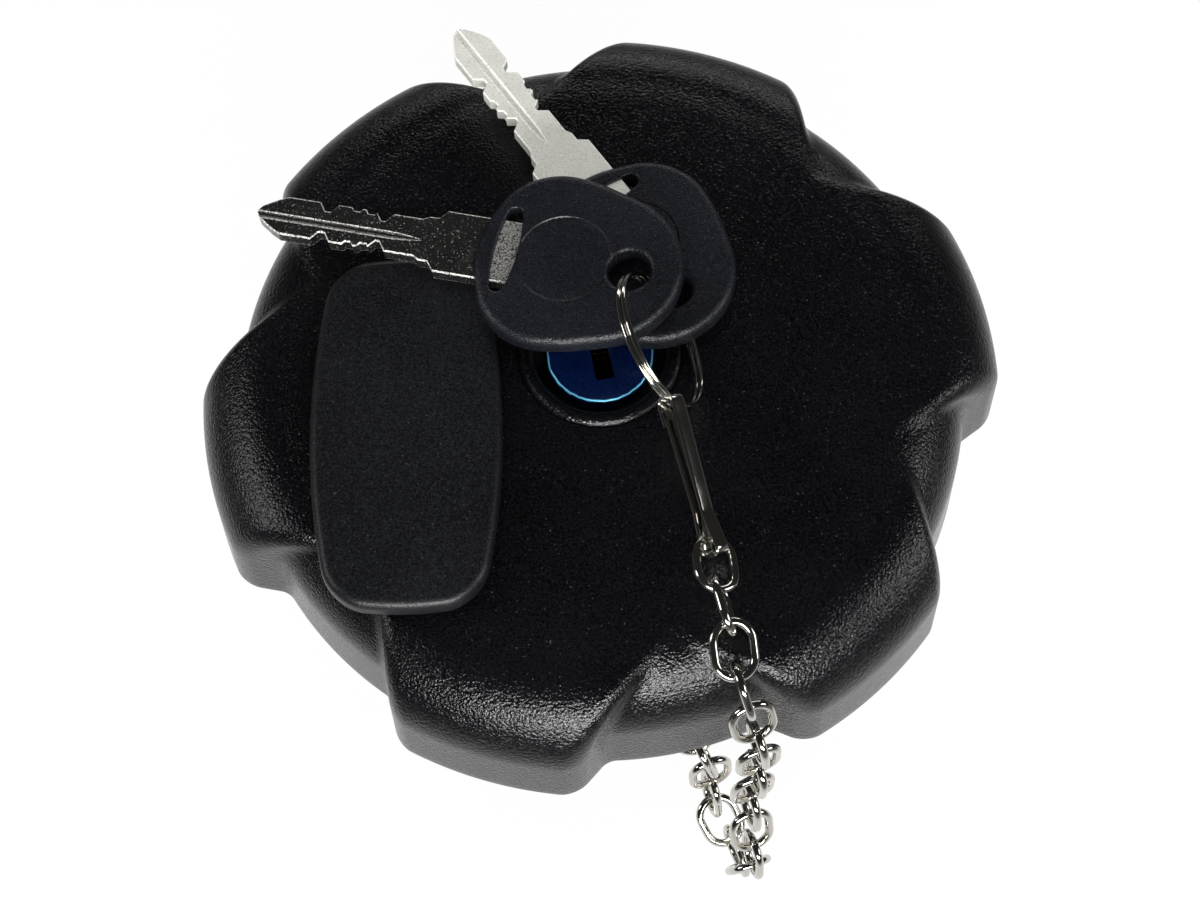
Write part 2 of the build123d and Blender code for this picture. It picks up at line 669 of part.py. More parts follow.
def head_outline():
    """Egg-shaped bow drawn round one back, one wide and two corner circles."""
    x, y = HEAD_CORNER_AT
    rounds = [(HEAD_R - HEAD_BACK, 0, HEAD_R), (HEAD_SIDE_AT, 0, HEAD_SIDE_R),
              (x, y, HEAD_CORNER_R), (x, -y, HEAD_CORNER_R)]
    with BuildSketch() as plan:
        for at_x, at_y, r in rounds:
            with Locations((at_x, at_y)):
                Circle(r)
        make_hull()
    return plan.sketch


def head_window():
    """Lens-shaped window that lies square to the blade, its two points rounded."""
    wide, high = WINDOW_HALF
    with BuildSketch() as plan:
        with BuildLine():
            ThreePointArc((WINDOW_AT, -high), (WINDOW_AT + wide, 0), (WINDOW_AT, high))
            ThreePointArc((WINDOW_AT, high), (WINDOW_AT - wide, 0), (WINDOW_AT, -high))
        make_face()
        fillet(plan.vertices(), WINDOW_TIP_R)
    return plan.sketch


def key_head(key):
    """Moulded bow: rounded edges, ring hole with eased rims, window and a fine ring line."""
    head = extrude(head_outline(), HEAD_T / 2, both=True)
    head = fillet(head.edges().group_by(Axis.Z)[-1], HEAD_EDGE)
    head = fillet(head.edges().group_by(Axis.Z)[0], HEAD_EDGE)
    head -= Cylinder(HEAD_HOLE_R, 2 * HEAD_T)
    rims = head.edges().filter_by(GeomType.CIRCLE).filter_by(lambda e: abs(e.radius - HEAD_HOLE_R) < 0.01)
    head = fillet(rims, HEAD_HOLE_EDGE)
    head -= extrude(head_window(), HEAD_T, both=True)
    for side in (1, -1):
        head -= Pos(HEAD_LINE_AT, 0, side * HEAD_T / 2) * Torus(HEAD_LINE_R, HEAD_LINE_W)
    head -= Pos((SHANK_END + SHOULDER_AT) / 2, 0, 0) * Box(SHOULDER_AT - SHANK_END, 2 * SHOULDER_HALF, BLADE_T)
    return key_plane(key) * head


def blade_outline():
    """Shank, shoulders, cut edges and pointed tip of the blade."""
    half = [(SHANK_END, SHOULDER_HALF), (SHOULDER_AT, SHOULDER_HALF), (SHOULDER_AT + 0.7, COLLAR_HALF),
            (COLLAR_AT, COLLAR_HALF), (COLLAR_AT + 0.6, BLADE_HALF)]
    for k in reversed(range(len(BIT_DEPTHS))):
        at = BIT_FIRST - k * BIT_PITCH
        low = BLADE_HALF - BIT_DEPTHS[k]
        ramp = BIT_FLAT + BIT_RISE * BIT_DEPTHS[k]
        half.append((at - ramp, BLADE_HALF - 0.1))
        half.append((at - BIT_FLAT, low))
        half.append((at + BIT_FLAT, low))
        half.append((at + ramp, BLADE_HALF - 0.1))
    half.append((KEY_REACH - TIP_L, BLADE_HALF))
    half.append((KEY_REACH - TIP_L / 3, BLADE_HALF / 2))
    half.append((KEY_REACH, BLADE_HALF / 10))
    return half + [(x, -y) for x, y in reversed(half)]


def key_blade(key):
    """Flat steel blade with its cuts and a milled groove down each face."""
    with BuildSketch() as plan:
        with BuildLine():
            Polyline(*blade_outline(), close=True)
        make_face()
    blade = extrude(plan.sketch, BLADE_T / 2, both=True)
    length = KEY_REACH - COLLAR_AT
    for side in (1, -1):
        cutter = Pos(COLLAR_AT + 1 + length / 2, side * GROOVE_OFF, side * BLADE_T / 2)
        blade -= cutter * Box(length, GROOVE_W, 2 * GROOVE_DEPTH)
    return key_plane(key) * blade


# ---- ring, snap clip and chain --------------------------------------------------------------------------
def split_ring():
    """Two-turn split ring through both bows and the snap clip."""
    height = RING_PITCH * RING_TURNS
    path = Pos(0, 0, -height / 2) * Helix(pitch=RING_PITCH, height=height, radius=RING_R)
    section = Plane(origin=path @ 0, z_dir=path % 0) * Circle(RING_WIRE / 2)
    ring = sweep(section, path=path)
    x, y, z = RING_AT
    across = (-RING_NORMAL[1], RING_NORMAL[0], 0)
    return Plane(origin=(x, y, z + RIM_Z), x_dir=across, z_dir=RING_NORMAL) * ring


def clip_plane():
    """Plane of the snap clip: X runs from the ring down to the first link."""
    top = Vector(*CLIP_TOP) + Vector(0, 0, RIM_Z)
    eye = chain_route(CHAIN_TOP) @ 0
    along = (eye - top).normalized()
    level = along.cross(Vector(0, 0, 1)).normalized()
    tilt = radians(CLIP_TILT)
    normal = level.cross(along) * cos(tilt) + level * sin(tilt)
    return Plane(origin=eye, x_dir=along, z_dir=normal)


def snap_clip():
    """Spring snap hook folded from one strip: hook over the ring, fold round the first link."""
    top = -(chain_route(CHAIN_TOP) @ 0 - Vector(*CLIP_TOP) - Vector(0, 0, RIM_Z)).length
    hook = LINK_W / 3
    neck = LINK_W / 6
    with BuildSketch() as plan:
        with BuildLine():
            FilletPolyline((top + hook, -hook), (top - hook, -hook), (top - hook, hook), (-LINK_W, neck),
                           (LINK_W / 4, hook), (LINK_W / 4, -hook), (-LINK_W, -neck),
                           (top + 2 * hook, -neck), radius=1.5 * CLIP_STRIP)
        trace(line_width=CLIP_STRIP)
    return clip_plane() * extrude(plan.sketch, CLIP_WIDTH / 2, both=True)


def link_form():
    """One plain oval link about the origin, long way along X."""
    bend = (LINK_W - LINK_WIRE) / 2
    run = (LINK_L - LINK_W) / 2
    with BuildLine() as path:
        Line((-run, bend), (run, bend))
        ThreePointArc((run, bend), (run + bend, 0), (run, -bend))
        Line((run, -bend), (-run, -bend))
        ThreePointArc((-run, -bend), (-run - bend, 0), (-run, bend))
    wire = path.wires()[0]
    section = Plane(origin=(0, bend, 0), x_dir=(0, 1, 0), z_dir=(1, 0, 0))
    section = section * RegularPolygon(LINK_WIRE / 2, WIRE_SIDES, rotation=180 / WIRE_SIDES)
    start = Wire([Line((0, bend), (run, bend)), *wire.edges()[1:], Line((-run, bend), (0, bend))])
    return sweep(section, path=start)


def chain_route(points):
    """Smooth route of the chain, spread outward with the grip."""
    return Spline(*[(x * RECESS_R, y * RECESS_R, z + RIM_Z) for x, y, z in points])


def place_link(form, a, b, roll):
    """Lay a link between two contact points, rolled about the line between them."""
    along = (b - a).normalized()
    level = Vector(*polar(1, LUG_AZ + 93))
    face = along.cross(level).normalized()
    level = face.cross(along)
    normal = face * cos(radians(roll)) + level * sin(radians(roll))
    return Plane(origin=(a + b) / 2, x_dir=along, z_dir=normal) * form


def links_along(points, rolls):
    """Links end to end along a route, with their rolls taken in turn."""
    route = chain_route(points)
    count = ceil(route.length / LINK_PITCH)
    stops = [route.position_at(k / count) for k in range(count + 1)]
    form = link_form()
    return [place_link(form, stops[k], stops[k + 1], rolls[k % len(rolls)]) for k in range(count)]


def chain_top():
    """Links that lie on the grip, from the snap clip to the edge."""
    return links_along(CHAIN_TOP, LYING_ROLLS)


def chain_hanging():
    """Links that hang over the edge and run back under the rim to the lug."""
    return links_along(CHAIN_HANG, HANGING_ROLLS)


def write(name, shape):
    """Write one node; a list of solids becomes one compound."""
    if isinstance(shape, list):
        shape = Compound(children=shape)
    export_step(shape, f"parts/{name}.step")


NODES = {
    "cap_handle": cap_handle,
    "handle_screws": handle_screws,
    "spigot_body": spigot_body,
    "gasket": gasket,
    "pressure_plate": pressure_plate,
    "wave_spring": wave_spring,
    "bayonet_plate": bayonet_plate,
    "bayonet_circlip": bayonet_circlip,
    "lock_barrel": lock_barrel,
    "lock_plug": lock_plug,
    "lock_wafers": lock_wafers,
    "lock_face": lock_face,
    "lock_cam": lock_cam,
    "bolt_right": lambda: lock_bolt(BOLT_AZ),
    "bolt_left": lambda: lock_bolt(BOLT_AZ + 180),
    "bolt_carrier": bolt_carrier,
    "vent_cage": vent_cage,
    "cage_screws": cage_screws,
    "vent_disc": vent_disc,
    "vent_seal": vent_seal,
    "vent_spring": vent_spring,
    "rollover_ball": lambda: Pos(0, 0, CAGE_FLOOR + BALL_R + 0.05) * Sphere(BALL_R),
    "dust_flap": dust_flap,
    "flap_pin": flap_pin,
    "flap_spring": flap_spring,
    "flap_clip": flap_clip,
    "key_1_head": lambda: key_head(KEY_1),
    "key_1_blade": lambda: key_blade(KEY_1),
    "key_2_head": lambda: key_head(KEY_2),
    "key_2_blade": lambda: key_blade(KEY_2),
    "split_ring": split_ring,
    "snap_clip": snap_clip,
    "chain_top": chain_top,
    "chain_hanging": chain_hanging,
}

for node, make in NODES.items():
    write(node, make())
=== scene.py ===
import json

import bmesh
import bpy
import numpy as np
from bpy.props import FloatProperty, FloatVectorProperty, IntProperty, PointerProperty
from mathutils import Matrix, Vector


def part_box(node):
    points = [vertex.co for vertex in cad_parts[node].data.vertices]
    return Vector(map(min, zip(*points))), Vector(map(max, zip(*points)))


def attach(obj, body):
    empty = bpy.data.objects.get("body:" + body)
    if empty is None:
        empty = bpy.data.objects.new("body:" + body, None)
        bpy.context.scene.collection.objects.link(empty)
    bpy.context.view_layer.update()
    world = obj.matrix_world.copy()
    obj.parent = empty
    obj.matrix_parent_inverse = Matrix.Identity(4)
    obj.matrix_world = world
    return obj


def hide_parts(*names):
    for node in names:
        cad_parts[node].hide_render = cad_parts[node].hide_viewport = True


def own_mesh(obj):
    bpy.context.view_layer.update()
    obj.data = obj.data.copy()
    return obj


bl_info = {
    "name": "Lockable filler cap",
    "version": (1, 0, 0),
    "blender": (4, 5, 0),
    "location": "3D View > Sidebar > Filler Cap",
    "description": "Builds a lobed, lockable tank filler cap with its flap, keys, ring and chain",
    "category": "Object",
}

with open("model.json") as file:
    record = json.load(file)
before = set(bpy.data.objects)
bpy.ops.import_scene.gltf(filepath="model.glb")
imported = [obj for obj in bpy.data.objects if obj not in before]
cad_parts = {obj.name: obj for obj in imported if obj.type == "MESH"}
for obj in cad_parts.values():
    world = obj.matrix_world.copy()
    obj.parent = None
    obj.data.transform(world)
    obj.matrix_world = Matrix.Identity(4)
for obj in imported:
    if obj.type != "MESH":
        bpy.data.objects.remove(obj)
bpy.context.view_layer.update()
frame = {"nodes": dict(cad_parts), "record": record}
MM = 0.001
TURN = 2 * np.pi


# ---- values that a user may change ----
def linear(code):
    """A colour written as sRGB hex, as four linear values."""
    parts = np.array([int(code[k : k + 2], 16) for k in (1, 3, 5)]) / 255
    low = parts / 12.92
    high = ((parts + 0.055) / 1.055) ** 2.4
    return (*np.where(parts <= 0.04045, low, high).tolist(), 1.0)


def length(name, text, value):
    return FloatProperty(name=name, description=text, default=value * MM, min=0, unit="LENGTH")


def position(name, text, value):
    return FloatProperty(name=name, description=text, default=value * MM, unit="LENGTH")


def angle(name, text, value):
    return FloatProperty(name=name, description=text, default=np.radians(value), unit="ROTATION")


def colour(name, text, code):
    return FloatVectorProperty(
        name=name, description=text, default=linear(code), size=4, min=0, max=1, subtype="COLOR"
    )


class GripSizes(bpy.types.PropertyGroup):
    radius: length("Radius", "Over the grip lobes", 58)
    recess: length("Recess radius", "Between the lobes", 52.75)
    height: length("Height", "Rim to the virtual top edge", 21.6)
    crown: length("Crown", "Rise of the domed top", 2.4)
    top_round: length("Top rounding", "Radius between wall and top", 10.4)
    draft: angle("Draft", "Lean of the wall", 1)
    wall: length("Wall", "Thickness of the shell", 3)
    rim: length("Rim height", "Height of the rim above the foot", 45)
    lobes: IntProperty(name="Lobes", description="Number of grip lobes", default=6, min=3, max=12)
    phase: angle("Phase", "Azimuth of the first lobe", 12)
    half_width: length("Half width", "Half width of a lobe at its outer corners", 13.3)
    lean: angle("Lean", "Lean of a lobe's flanks off its own radius", 24)
    edge: length("Lobe edge", "Rounding of a lobe's edges", 1.9)
    foot: length("Lobe foot", "Hollow rounding where a lobe grows out of the wall", 0.9)
    bead_at: length("Bead radius", "Middle of the bead round the lock", 10.5)
    bead: length("Bead section", "Section radius of that bead", 1.2)
    bead_rise: length("Bead rise", "Bead above the dome", 0.9)
    bore: length("Lock bore", "Radius of the bore for the lock", 9.25)
    boss: length("Boss radius", "Outer radius of the lock boss", 12.2)
    depth: length("Rib level", "Lower edge of ribs and boss above the rim", 14.8)


class FlapSizes(bpy.types.PropertyGroup):
    length: length("Length", "End to end", 53.2)
    tail: length("Tail", "Flap beyond its pivot", 7)
    end_half: length("End half width", "Half width at the ends", 10.4)
    mid_half: length("Middle half width", "Half width at the middle", 13.35)
    bulge: length("End bulge", "Bulge of the ends", 1.2)
    thick: length("Thickness", "Height of the flap", 3)
    corner: length("Corner", "Corner radius in plan", 4.6)
    edge: length("Edge", "Rounding of the top edge", 1.4)
    pivot_x: position("Pivot X", "Place of the pivot", -27.1)
    pivot_y: position("Pivot Y", "Place of the pivot", 6.8)


class KeySizes(bpy.types.PropertyGroup):
    thick: length("Bow thickness", "Thickness of the moulded bow", 3.8)
    edge: length("Bow edge", "Rounding of the bow", 1.25)
    hole: length("Ring hole", "Radius of the hole for the ring", 3.0)
    hole_edge: length("Hole edge", "Rounding of the ring hole's rims", 0.8)
    window_at: length("Window", "Ring hole to the middle of the window", 17.7)
    window_wide: length("Window half width", "Half width of the window, along the key", 1.65)
    window_end: length("Window end", "Half width of the window at its rounded ends", 0.85)
    window_high: length("Window half height", "Half height of the window, across the key", 6.7)
    disc: length("Disc", "Radius of the sunk disc on the bow", 6.6)
    disc_at: length("Disc place", "Ring hole to the middle of the sunk disc", 9.3)
    blade: length("Blade thickness", "Thickness of the steel", 2.2)
    half: length("Blade half width", "Half width of the blade", 3.05)
    groove: length("Groove", "Width of the milled groove", 1.2)
    groove_deep: length("Groove depth", "Depth of the milled groove", 0.55)
    tip: length("Point", "Length of the pointed end", 3.9)
    reach: length("Reach", "Ring hole to the tip", 54.3)


class RingSizes(bpy.types.PropertyGroup):
    radius: length("Ring radius", "Middle of the ring's wire", 9.9)
    wire: length("Ring wire", "Thickness of the ring's wire", 0.76)
    pitch: length("Ring pitch", "Rise in one turn", 0.8)
    turns: FloatProperty(name="Turns", description="Turns of the split ring", default=1.9, min=1)
    strip: length("Clip strip", "Thickness of the snap clip's strip", 0.6)
    strip_width: length("Clip width", "Width of that strip", 2.3)
    link_length: length("Link length", "Outer length of a link", 8.9)
    link_width: length("Link width", "Outer width of a link", 6.8)
    link_wire: length("Link wire", "Thickness of a link's wire", 1.25)


class Colours(bpy.types.PropertyGroup):
    grip: colour("Grip", "Grained black moulding", "#070709")
    flap: colour("Flap", "Finely grained flap moulding", "#0c0d10")
    bow: colour("Key bow", "Moulded key bow", "#101116")
    inner: colour("Spigot", "Plain moulding under the grip", "#191a1c")
    cage: colour("Cage", "Plain moulding of the vent cage", "#232427")
    rubber: colour("Seal", "Seal rubber", "#1d1c1b")
    face: colour("Lock face", "Blue lacquered face", "#011743")
    nickel: colour("Nickel", "Bright nickel plating", "#d9d6cf")
    blade: colour("Key steel", "Nickelled key blade", "#d4d3cb")
    # Painted shade: a darker copy of the key steel, for the key whose blade looks dark.
    shaded_blade: colour("Shaded key steel", "Same key steel painted darker as painted shade", "#6a6867")
    # Pale colour painted on key steel as highlights on edges, lips and one groove wall, and as glints.
    highlight_tint: colour("Highlight on steel", "Pale colour of painted highlights and glints on key steel", "#f4f2ec")
    zinc: colour("Zinc", "Zinc-plated steel", "#b9bcc0")
    casting: colour("Casting", "Zinc casting of the lock", "#6e7074")
    brass: colour("Brass", "Lock plug", "#b08d4a")
    steel: colour("Spring steel", "Springs and clips", "#8d8f92")
    floor: colour("Floor", "Plain floor", "#f2f2f0")


# ---- forms worked out as whole arrays ----
def soft_and(a, b, r):
    """Overlap of two distances; where both are nearer than r, the edge is an arc of radius r."""
    return np.minimum(-r, np.maximum(a, b)) + np.hypot(np.maximum(r + a, 0), np.maximum(r + b, 0))


def soft_or(a, b, r):
    """Union of two distances; where both are nearer than r, the corner is a hollow arc of radius r."""
    return np.maximum(r, np.minimum(a, b)) - np.hypot(np.maximum(r - a, 0), np.maximum(r - b, 0))


def reach(distance, low, high, steps=36):
    """How far each ray runs before the distance changes sign, found by halving the gap."""
    for _ in range(steps):
        mid = (low + high) / 2
        inside = distance(mid) < 0
        low = np.where(inside, mid, low)
        high = np.where(inside, high, mid)
    return low


def unit(v):
    return v / np.linalg.norm(v, axis=-1, keepdims=True)


def polar(r, azimuth, z):
    """Points at a radius, an azimuth in radians and a height, spread to one shape."""
    r, azimuth, z = np.broadcast_arrays(r, azimuth, z)
    return np.stack([r * np.cos(azimuth), r * np.sin(azimuth), z], axis=-1)


def cells(grid, wrap=(False, False)):
    """Points and four-cornered faces of a grid; wrap closes its rows or columns on themselves."""
    rows, columns = grid.shape[:2]
    index = np.arange(rows * columns).reshape(rows, columns)
    if wrap[0]:
        index = np.vstack([index, index[:1]])
    if wrap[1]:
        index = np.hstack([index, index[:, :1]])
    quads = np.stack([index[:-1, :-1], index[1:, :-1], index[1:, 1:], index[:-1, 1:]], axis=-1)
    return grid.reshape(-1, 3), quads.reshape(-1, 4)


def solid(name, patches, sharp=35):
    """One mesh object from closed patches: seams and poles are merged and faces turned outward."""
    points, faces, start = [], [], 0
    for at, quads in patches:
        points.append(at)
        faces.append(quads + start)
        start += len(at)
    mesh = bpy.data.meshes.new(name)
    mesh.from_pydata(np.concatenate(points).tolist(), [], np.concatenate(faces).tolist())
    return finished(name, mesh, sharp)


def finished(name, mesh, sharp):
    """Merges doubles, closes poles, turns faces outward and shades smooth up to an angle."""
    work = bmesh.new()
    work.from_mesh(mesh)
    bmesh.ops.remove_doubles(work, verts=work.verts, dist=0.002 * MM)
    bmesh.ops.dissolve_degenerate(work, edges=work.edges, dist=0.001 * MM)
    bmesh.ops.recalc_face_normals(work, faces=work.faces)
    work.to_mesh(mesh)
    work.free()
    mesh.shade_smooth()
    mesh.set_sharp_from_angle(angle=np.radians(sharp))
    made = bpy.data.objects.new(name, mesh)
    bpy.context.scene.collection.objects.link(made)
    return made


def turned(profile, columns=192, at=(0, 0), closed=True):
    """A profile of radii and heights turned about an upright axis; closed joins its two ends."""
    profile = np.asarray(profile, float)
    azimuth = np.linspace(0, TURN, columns, endpoint=False)
    grid = polar(profile[:, :1], azimuth[None], profile[:, 1:])
    grid[..., 0] += at[0]
    grid[..., 1] += at[1]
    return cells(grid, (closed, True))


def capped(grid):
    """A tube's rows with one pole point added at either end."""
    first = np.broadcast_to(grid[:1].mean(axis=1, keepdims=True), grid[:1].shape)
    last = np.broadcast_to(grid[-1:].mean(axis=1, keepdims=True), grid[-1:].shape)
    return np.concatenate([first, grid, last])


def carried(path, axis, section, closed=False):
    """A flat section carried along a path; its first axis stays square to the path and to axis."""
    along = unit(np.roll(path, -1, 0) - np.roll(path, 1, 0) if closed else np.gradient(path, axis=0))
    across = unit(np.cross(along, np.broadcast_to(axis, along.shape)))
    rise = np.cross(across, along)
    grid = path[:, None] + across[:, None] * section[None, :, :1] + rise[:, None] * section[None, :, 1:]
    return cells(grid if closed else capped(grid), (closed, True))


def circle(radius, sides):
    """A round section."""
    t = np.linspace(0, TURN, sides, endpoint=False)
    return radius * np.stack([np.cos(t), np.sin(t)], axis=-1)


def rounded_box(width, height, corner, steps=4):
    """A box section whose corners are quarter arcs."""
    t = np.linspace(0, TURN / 4, steps)
    arc = corner * np.stack([np.cos(t), np.sin(t)], axis=-1)
    arc = arc + [width / 2 - corner, height / 2 - corner]
    half = np.concatenate([arc, arc[::-1] * [-1, 1]])
    return np.concatenate([half, half * [-1, -1]])


def rounded_route(points, radius, steps=10):
    """A bent route: each inner corner gives way to an arc that touches both of its runs."""
    p = np.asarray(points, float)
    u, w = unit(p[:-2] - p[1:-1]), unit(p[2:] - p[1:-1])
    half = np.arccos(np.clip((u * w).sum(-1, keepdims=True), -1, 1)) / 2
    centre = p[1:-1] + unit(u + w) * radius / np.sin(half)
    start, end = p[1:-1] + u * radius / np.tan(half) - centre, p[1:-1] + w * radius / np.tan(half) - centre
    t = np.linspace(0, 1, steps)[None, :, None]
    spread = np.pi - 2 * half[:, None]
    arc = (np.sin((1 - t) * spread) * start[:, None] + np.sin(t * spread) * end[:, None]) / np.sin(spread)
    bent = (centre[:, None] + arc).reshape(-1, p.shape[1])
    return np.concatenate([p[:1], bent, p[-1:]])


def placed(patch, origin, x_axis, y_axis, z_axis):
    """A patch moved from its own axes to a place in the frame."""
    points, quads = patch
    return np.asarray(origin) + points @ np.stack([x_axis, y_axis, z_axis]), quads


# ---- materials ----
def feed(tree, target, inputs):
    """Fills a node's inputs; each takes a value or the socket that feeds it."""
    for key, value in inputs.items():
        if isinstance(value, bpy.types.NodeSocket):
            tree.links.new(value, target.inputs[key])
        else:
            target.inputs[key].default_value = value


def node(tree, kind, inputs=None, **settings):
    """Adds a node with its settings and inputs."""
    made = tree.nodes.new(kind)
    for key, value in settings.items():
        setattr(made, key, value)
    feed(tree, made, inputs or {})
    return made


def object_place(tree):
    """Coordinates in the piece's own frame."""
    return node(tree, "ShaderNodeTexCoord").outputs["Object"]


def noise(tree, place, scale, detail=2.0, **more):
    """Cloudy noise; scale is in cells per metre."""
    inputs = {"Vector": place, "Scale": scale, "Detail": detail, **more}
    return node(tree, "ShaderNodeTexNoise", inputs).outputs["Fac"]


def pebbles(tree, place, scale, output):
    """Round cells: the distance from each one's middle, or a colour of its own."""
    inputs = {"Vector": place, "Scale": scale}
    return node(tree, "ShaderNodeTexVoronoi", inputs, feature="F1").outputs[output]


def apart(tree, place, middle):
    """Distance of each place from a middle."""
    inputs = {0: place, 1: middle}
    return node(tree, "ShaderNodeVectorMath", inputs, operation="DISTANCE").outputs["Value"]


def maths(tree, operation, *values):
    return node(tree, "ShaderNodeMath", dict(enumerate(values)), operation=operation).outputs[0]


def ramp(tree, value, low, high, start=0.0, end=1.0, kind="LINEAR"):
    """A value that runs from low to high, mapped onto start to end and held there beyond them."""
    inputs = {"Value": value, "From Min": low, "From Max": high, "To Min": start, "To Max": end}
    return node(tree, "ShaderNodeMapRange", inputs, interpolation_type=kind).outputs["Result"]


def blend(tree, share, first, second):
    """Two colours mixed by a share."""
    inputs = {"Factor": share, 6: first, 7: second}
    return node(tree, "ShaderNodeMix", inputs, data_type="RGBA").outputs[2]


def bump(tree, height, depth, strength=1.0):
    inputs = {"Height": height, "Distance": depth, "Strength": strength}
    return node(tree, "ShaderNodeBump", inputs).outputs["Normal"]


def blank(name):
    """An empty material with its Principled shader, or None if that material is already made."""
    if name in bpy.data.materials:
        return None, None, None
    made = bpy.data.materials.new(name)
    made.use_nodes = True
    tree = made.node_tree
    tree.nodes.clear()
    shader = node(tree, "ShaderNodeBsdfPrincipled")
    node(tree, "ShaderNodeOutputMaterial", {"Surface": shader.outputs["BSDF"]})
    return made, tree, shader


def shade(colour, factor):
    """A colour made lighter or darker."""
    return (*(min(c * factor, 1.0) for c in colour[:3]), 1.0)


def moulding(name, tint, grain, depth, rough, painted_glints=0.0, disc=None):
    """Spark-textured ABS, injection moulded: the mould's pebble grain breaks the gloss into short
    bright worms, and its high spots are rubbed a little shinier.  disc is the middle and radius of
    a ball that marks a sunk disc where it meets a flat face."""
    made, tree, shader = blank(name)
    if made is None:
        return bpy.data.materials[name]
    place = object_place(tree)
    pits = noise(tree, place, 1 / grain, Roughness=0.6)
    relief = maths(tree, "MULTIPLY_ADD", pebbles(tree, place, 0.8 / grain, "Distance"), -0.6, pits)
    if disc is not None:
        middle, radius = disc
        half_step, sunk = 0.16 * MM, 0.3 * MM
        gap = maths(tree, "SUBTRACT", apart(tree, place, middle), radius)
        step = ramp(tree, gap, -half_step, half_step, 0.0, sunk / depth, "SMOOTHSTEP")
        relief = maths(tree, "ADD", relief, step)
    # Tone is partly random clouds and partly painted sheen that follows the grain.
    cloud = noise(tree, place, 60.0, 4.0)
    grain_sheen = noise(tree, place, 1.1 / grain, 1.0)
    mottle_and_sheen = ramp(tree, maths(tree, "MULTIPLY_ADD", cloud, 0.35, grain_sheen), 0.5, 0.85)
    tone = blend(tree, mottle_and_sheen, shade(tint, 0.35), shade(tint, 2.3))
    # Painted glints: pale specks where the grain noise peaks.
    if painted_glints:
        tone = blend(tree, ramp(tree, grain_sheen, 0.74, 0.82, 0.0, painted_glints), tone, linear("#c9c9c4"))
    gloss = ramp(tree, pits, 0.3, 0.7, rough + 0.06, rough - 0.06)
    normal = bump(tree, relief, depth)
    feed(tree, shader, {"Base Color": tone, "Roughness": gloss, "Normal": normal, "IOR": 1.5})
    return made


def metal(name, tint, rough, wave=8.0, depth=0.01, pit=0.0, matt=0.0, highlight_tint=None):
    """Plated or cast metal: plating follows the base, so its mirror is slightly wavy, and handling
    leaves faint dull patches.  pit adds the fine dark pores of a casting or a tumbled blank, matt is
    the share that scatters like a frosted plating, and highlight_tint the pale colour of painted
    highlights wherever the piece's attribute "painted_highlight" asks, and of painted glints on
    scattered pores."""
    made, tree, shader = blank(name)
    if made is None:
        return bpy.data.materials[name]
    place = object_place(tree)
    swell = noise(tree, place, 1000 / wave)
    pores = noise(tree, place, 4000.0)
    relief, mirror = swell, 1.0 - matt
    tone = blend(tree, swell, shade(tint, 0.86), shade(tint, 1.06))
    if pit:
        dark = ramp(tree, pores, 0.34, 0.46, pit, 0.0)
        tone = blend(tree, dark, tone, shade(tint, 0.12))
        relief = maths(tree, "SUBTRACT", swell, dark)
    if highlight_tint is not None:
        # Painted highlight: the attribute marks edges, lips, one groove wall and the shank in the window;
        # pores break it up, scattered pores add painted glints, and there the steel is made less metallic.
        cut = node(tree, "ShaderNodeAttribute", attribute_name="painted_highlight").outputs["Fac"]
        cut = maths(tree, "MULTIPLY", cut, ramp(tree, pores, 0.36, 0.56, 0.15))
        cut = maths(tree, "MAXIMUM", cut, ramp(tree, pores, 0.62, 0.72, 0.0, 0.5))
        tone = blend(tree, cut, tone, highlight_tint)
        mirror = ramp(tree, cut, 0.0, 1.0, 1.0 - matt, 0.2)
    dull = noise(tree, place, 240.0, 5.0)
    gloss = ramp(tree, dull, 0.35, 0.75, rough * 0.7, rough * 1.7)
    normal = bump(tree, relief, depth * MM)
    feed(tree, shader, {"Base Color": tone, "Metallic": mirror, "Roughness": gloss, "Normal": normal})
    return made


def rubber(name, tint):
    """Moulded nitrile rubber: dead matt, with pale bloom in soft clouds and a fine bubble grain."""
    made, tree, shader = blank(name)
    if made is None:
        return bpy.data.materials[name]
    place = object_place(tree)
    tone = blend(tree, noise(tree, place, 90.0, 5.0), shade(tint, 0.7), shade(tint, 1.9))
    normal = bump(tree, noise(tree, place, 1800.0), 0.04 * MM, 0.8)
    feed(tree, shader, {"Base Color": tone, "Roughness": 0.82, "Normal": normal, "IOR": 1.52})
    return made


def wear(piece, material, name):
    """Gives a piece its material, takes its body from the node that it stands for, and hides
    that node."""
    piece.data.materials.clear()
    piece.data.materials.append(material)
    bodies = frame["record"]["behaviour"]["bodies"]
    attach(piece, next(body for body, members in bodies.items() if name in members))
    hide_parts(name)


def sizes(name):
    return getattr(bpy.context.scene, "filler_cap_" + name)


# ---- grip ----
def dome_radius(s):
    return (s.recess**2 + s.crown**2) / (2 * s.crown)


def dome(r, s):
    """Height of the domed top above the rim: a ball cap whose rise at the recess radius is crown."""
    return s.height + s.crown - dome_radius(s) + np.sqrt(dome_radius(s) ** 2 - r**2)


def turned_form(r, z, radius, inset, s):
    """Distance to the turned grip: a drafted cone and a domed top met by the top rounding."""
    wall = (r - radius + inset + z * np.tan(s.draft)) * np.cos(s.draft)
    top = np.hypot(r, z - (s.height + s.crown - dome_radius(s))) - dome_radius(s) + inset
    return soft_and(wall, top, s.top_round - inset)


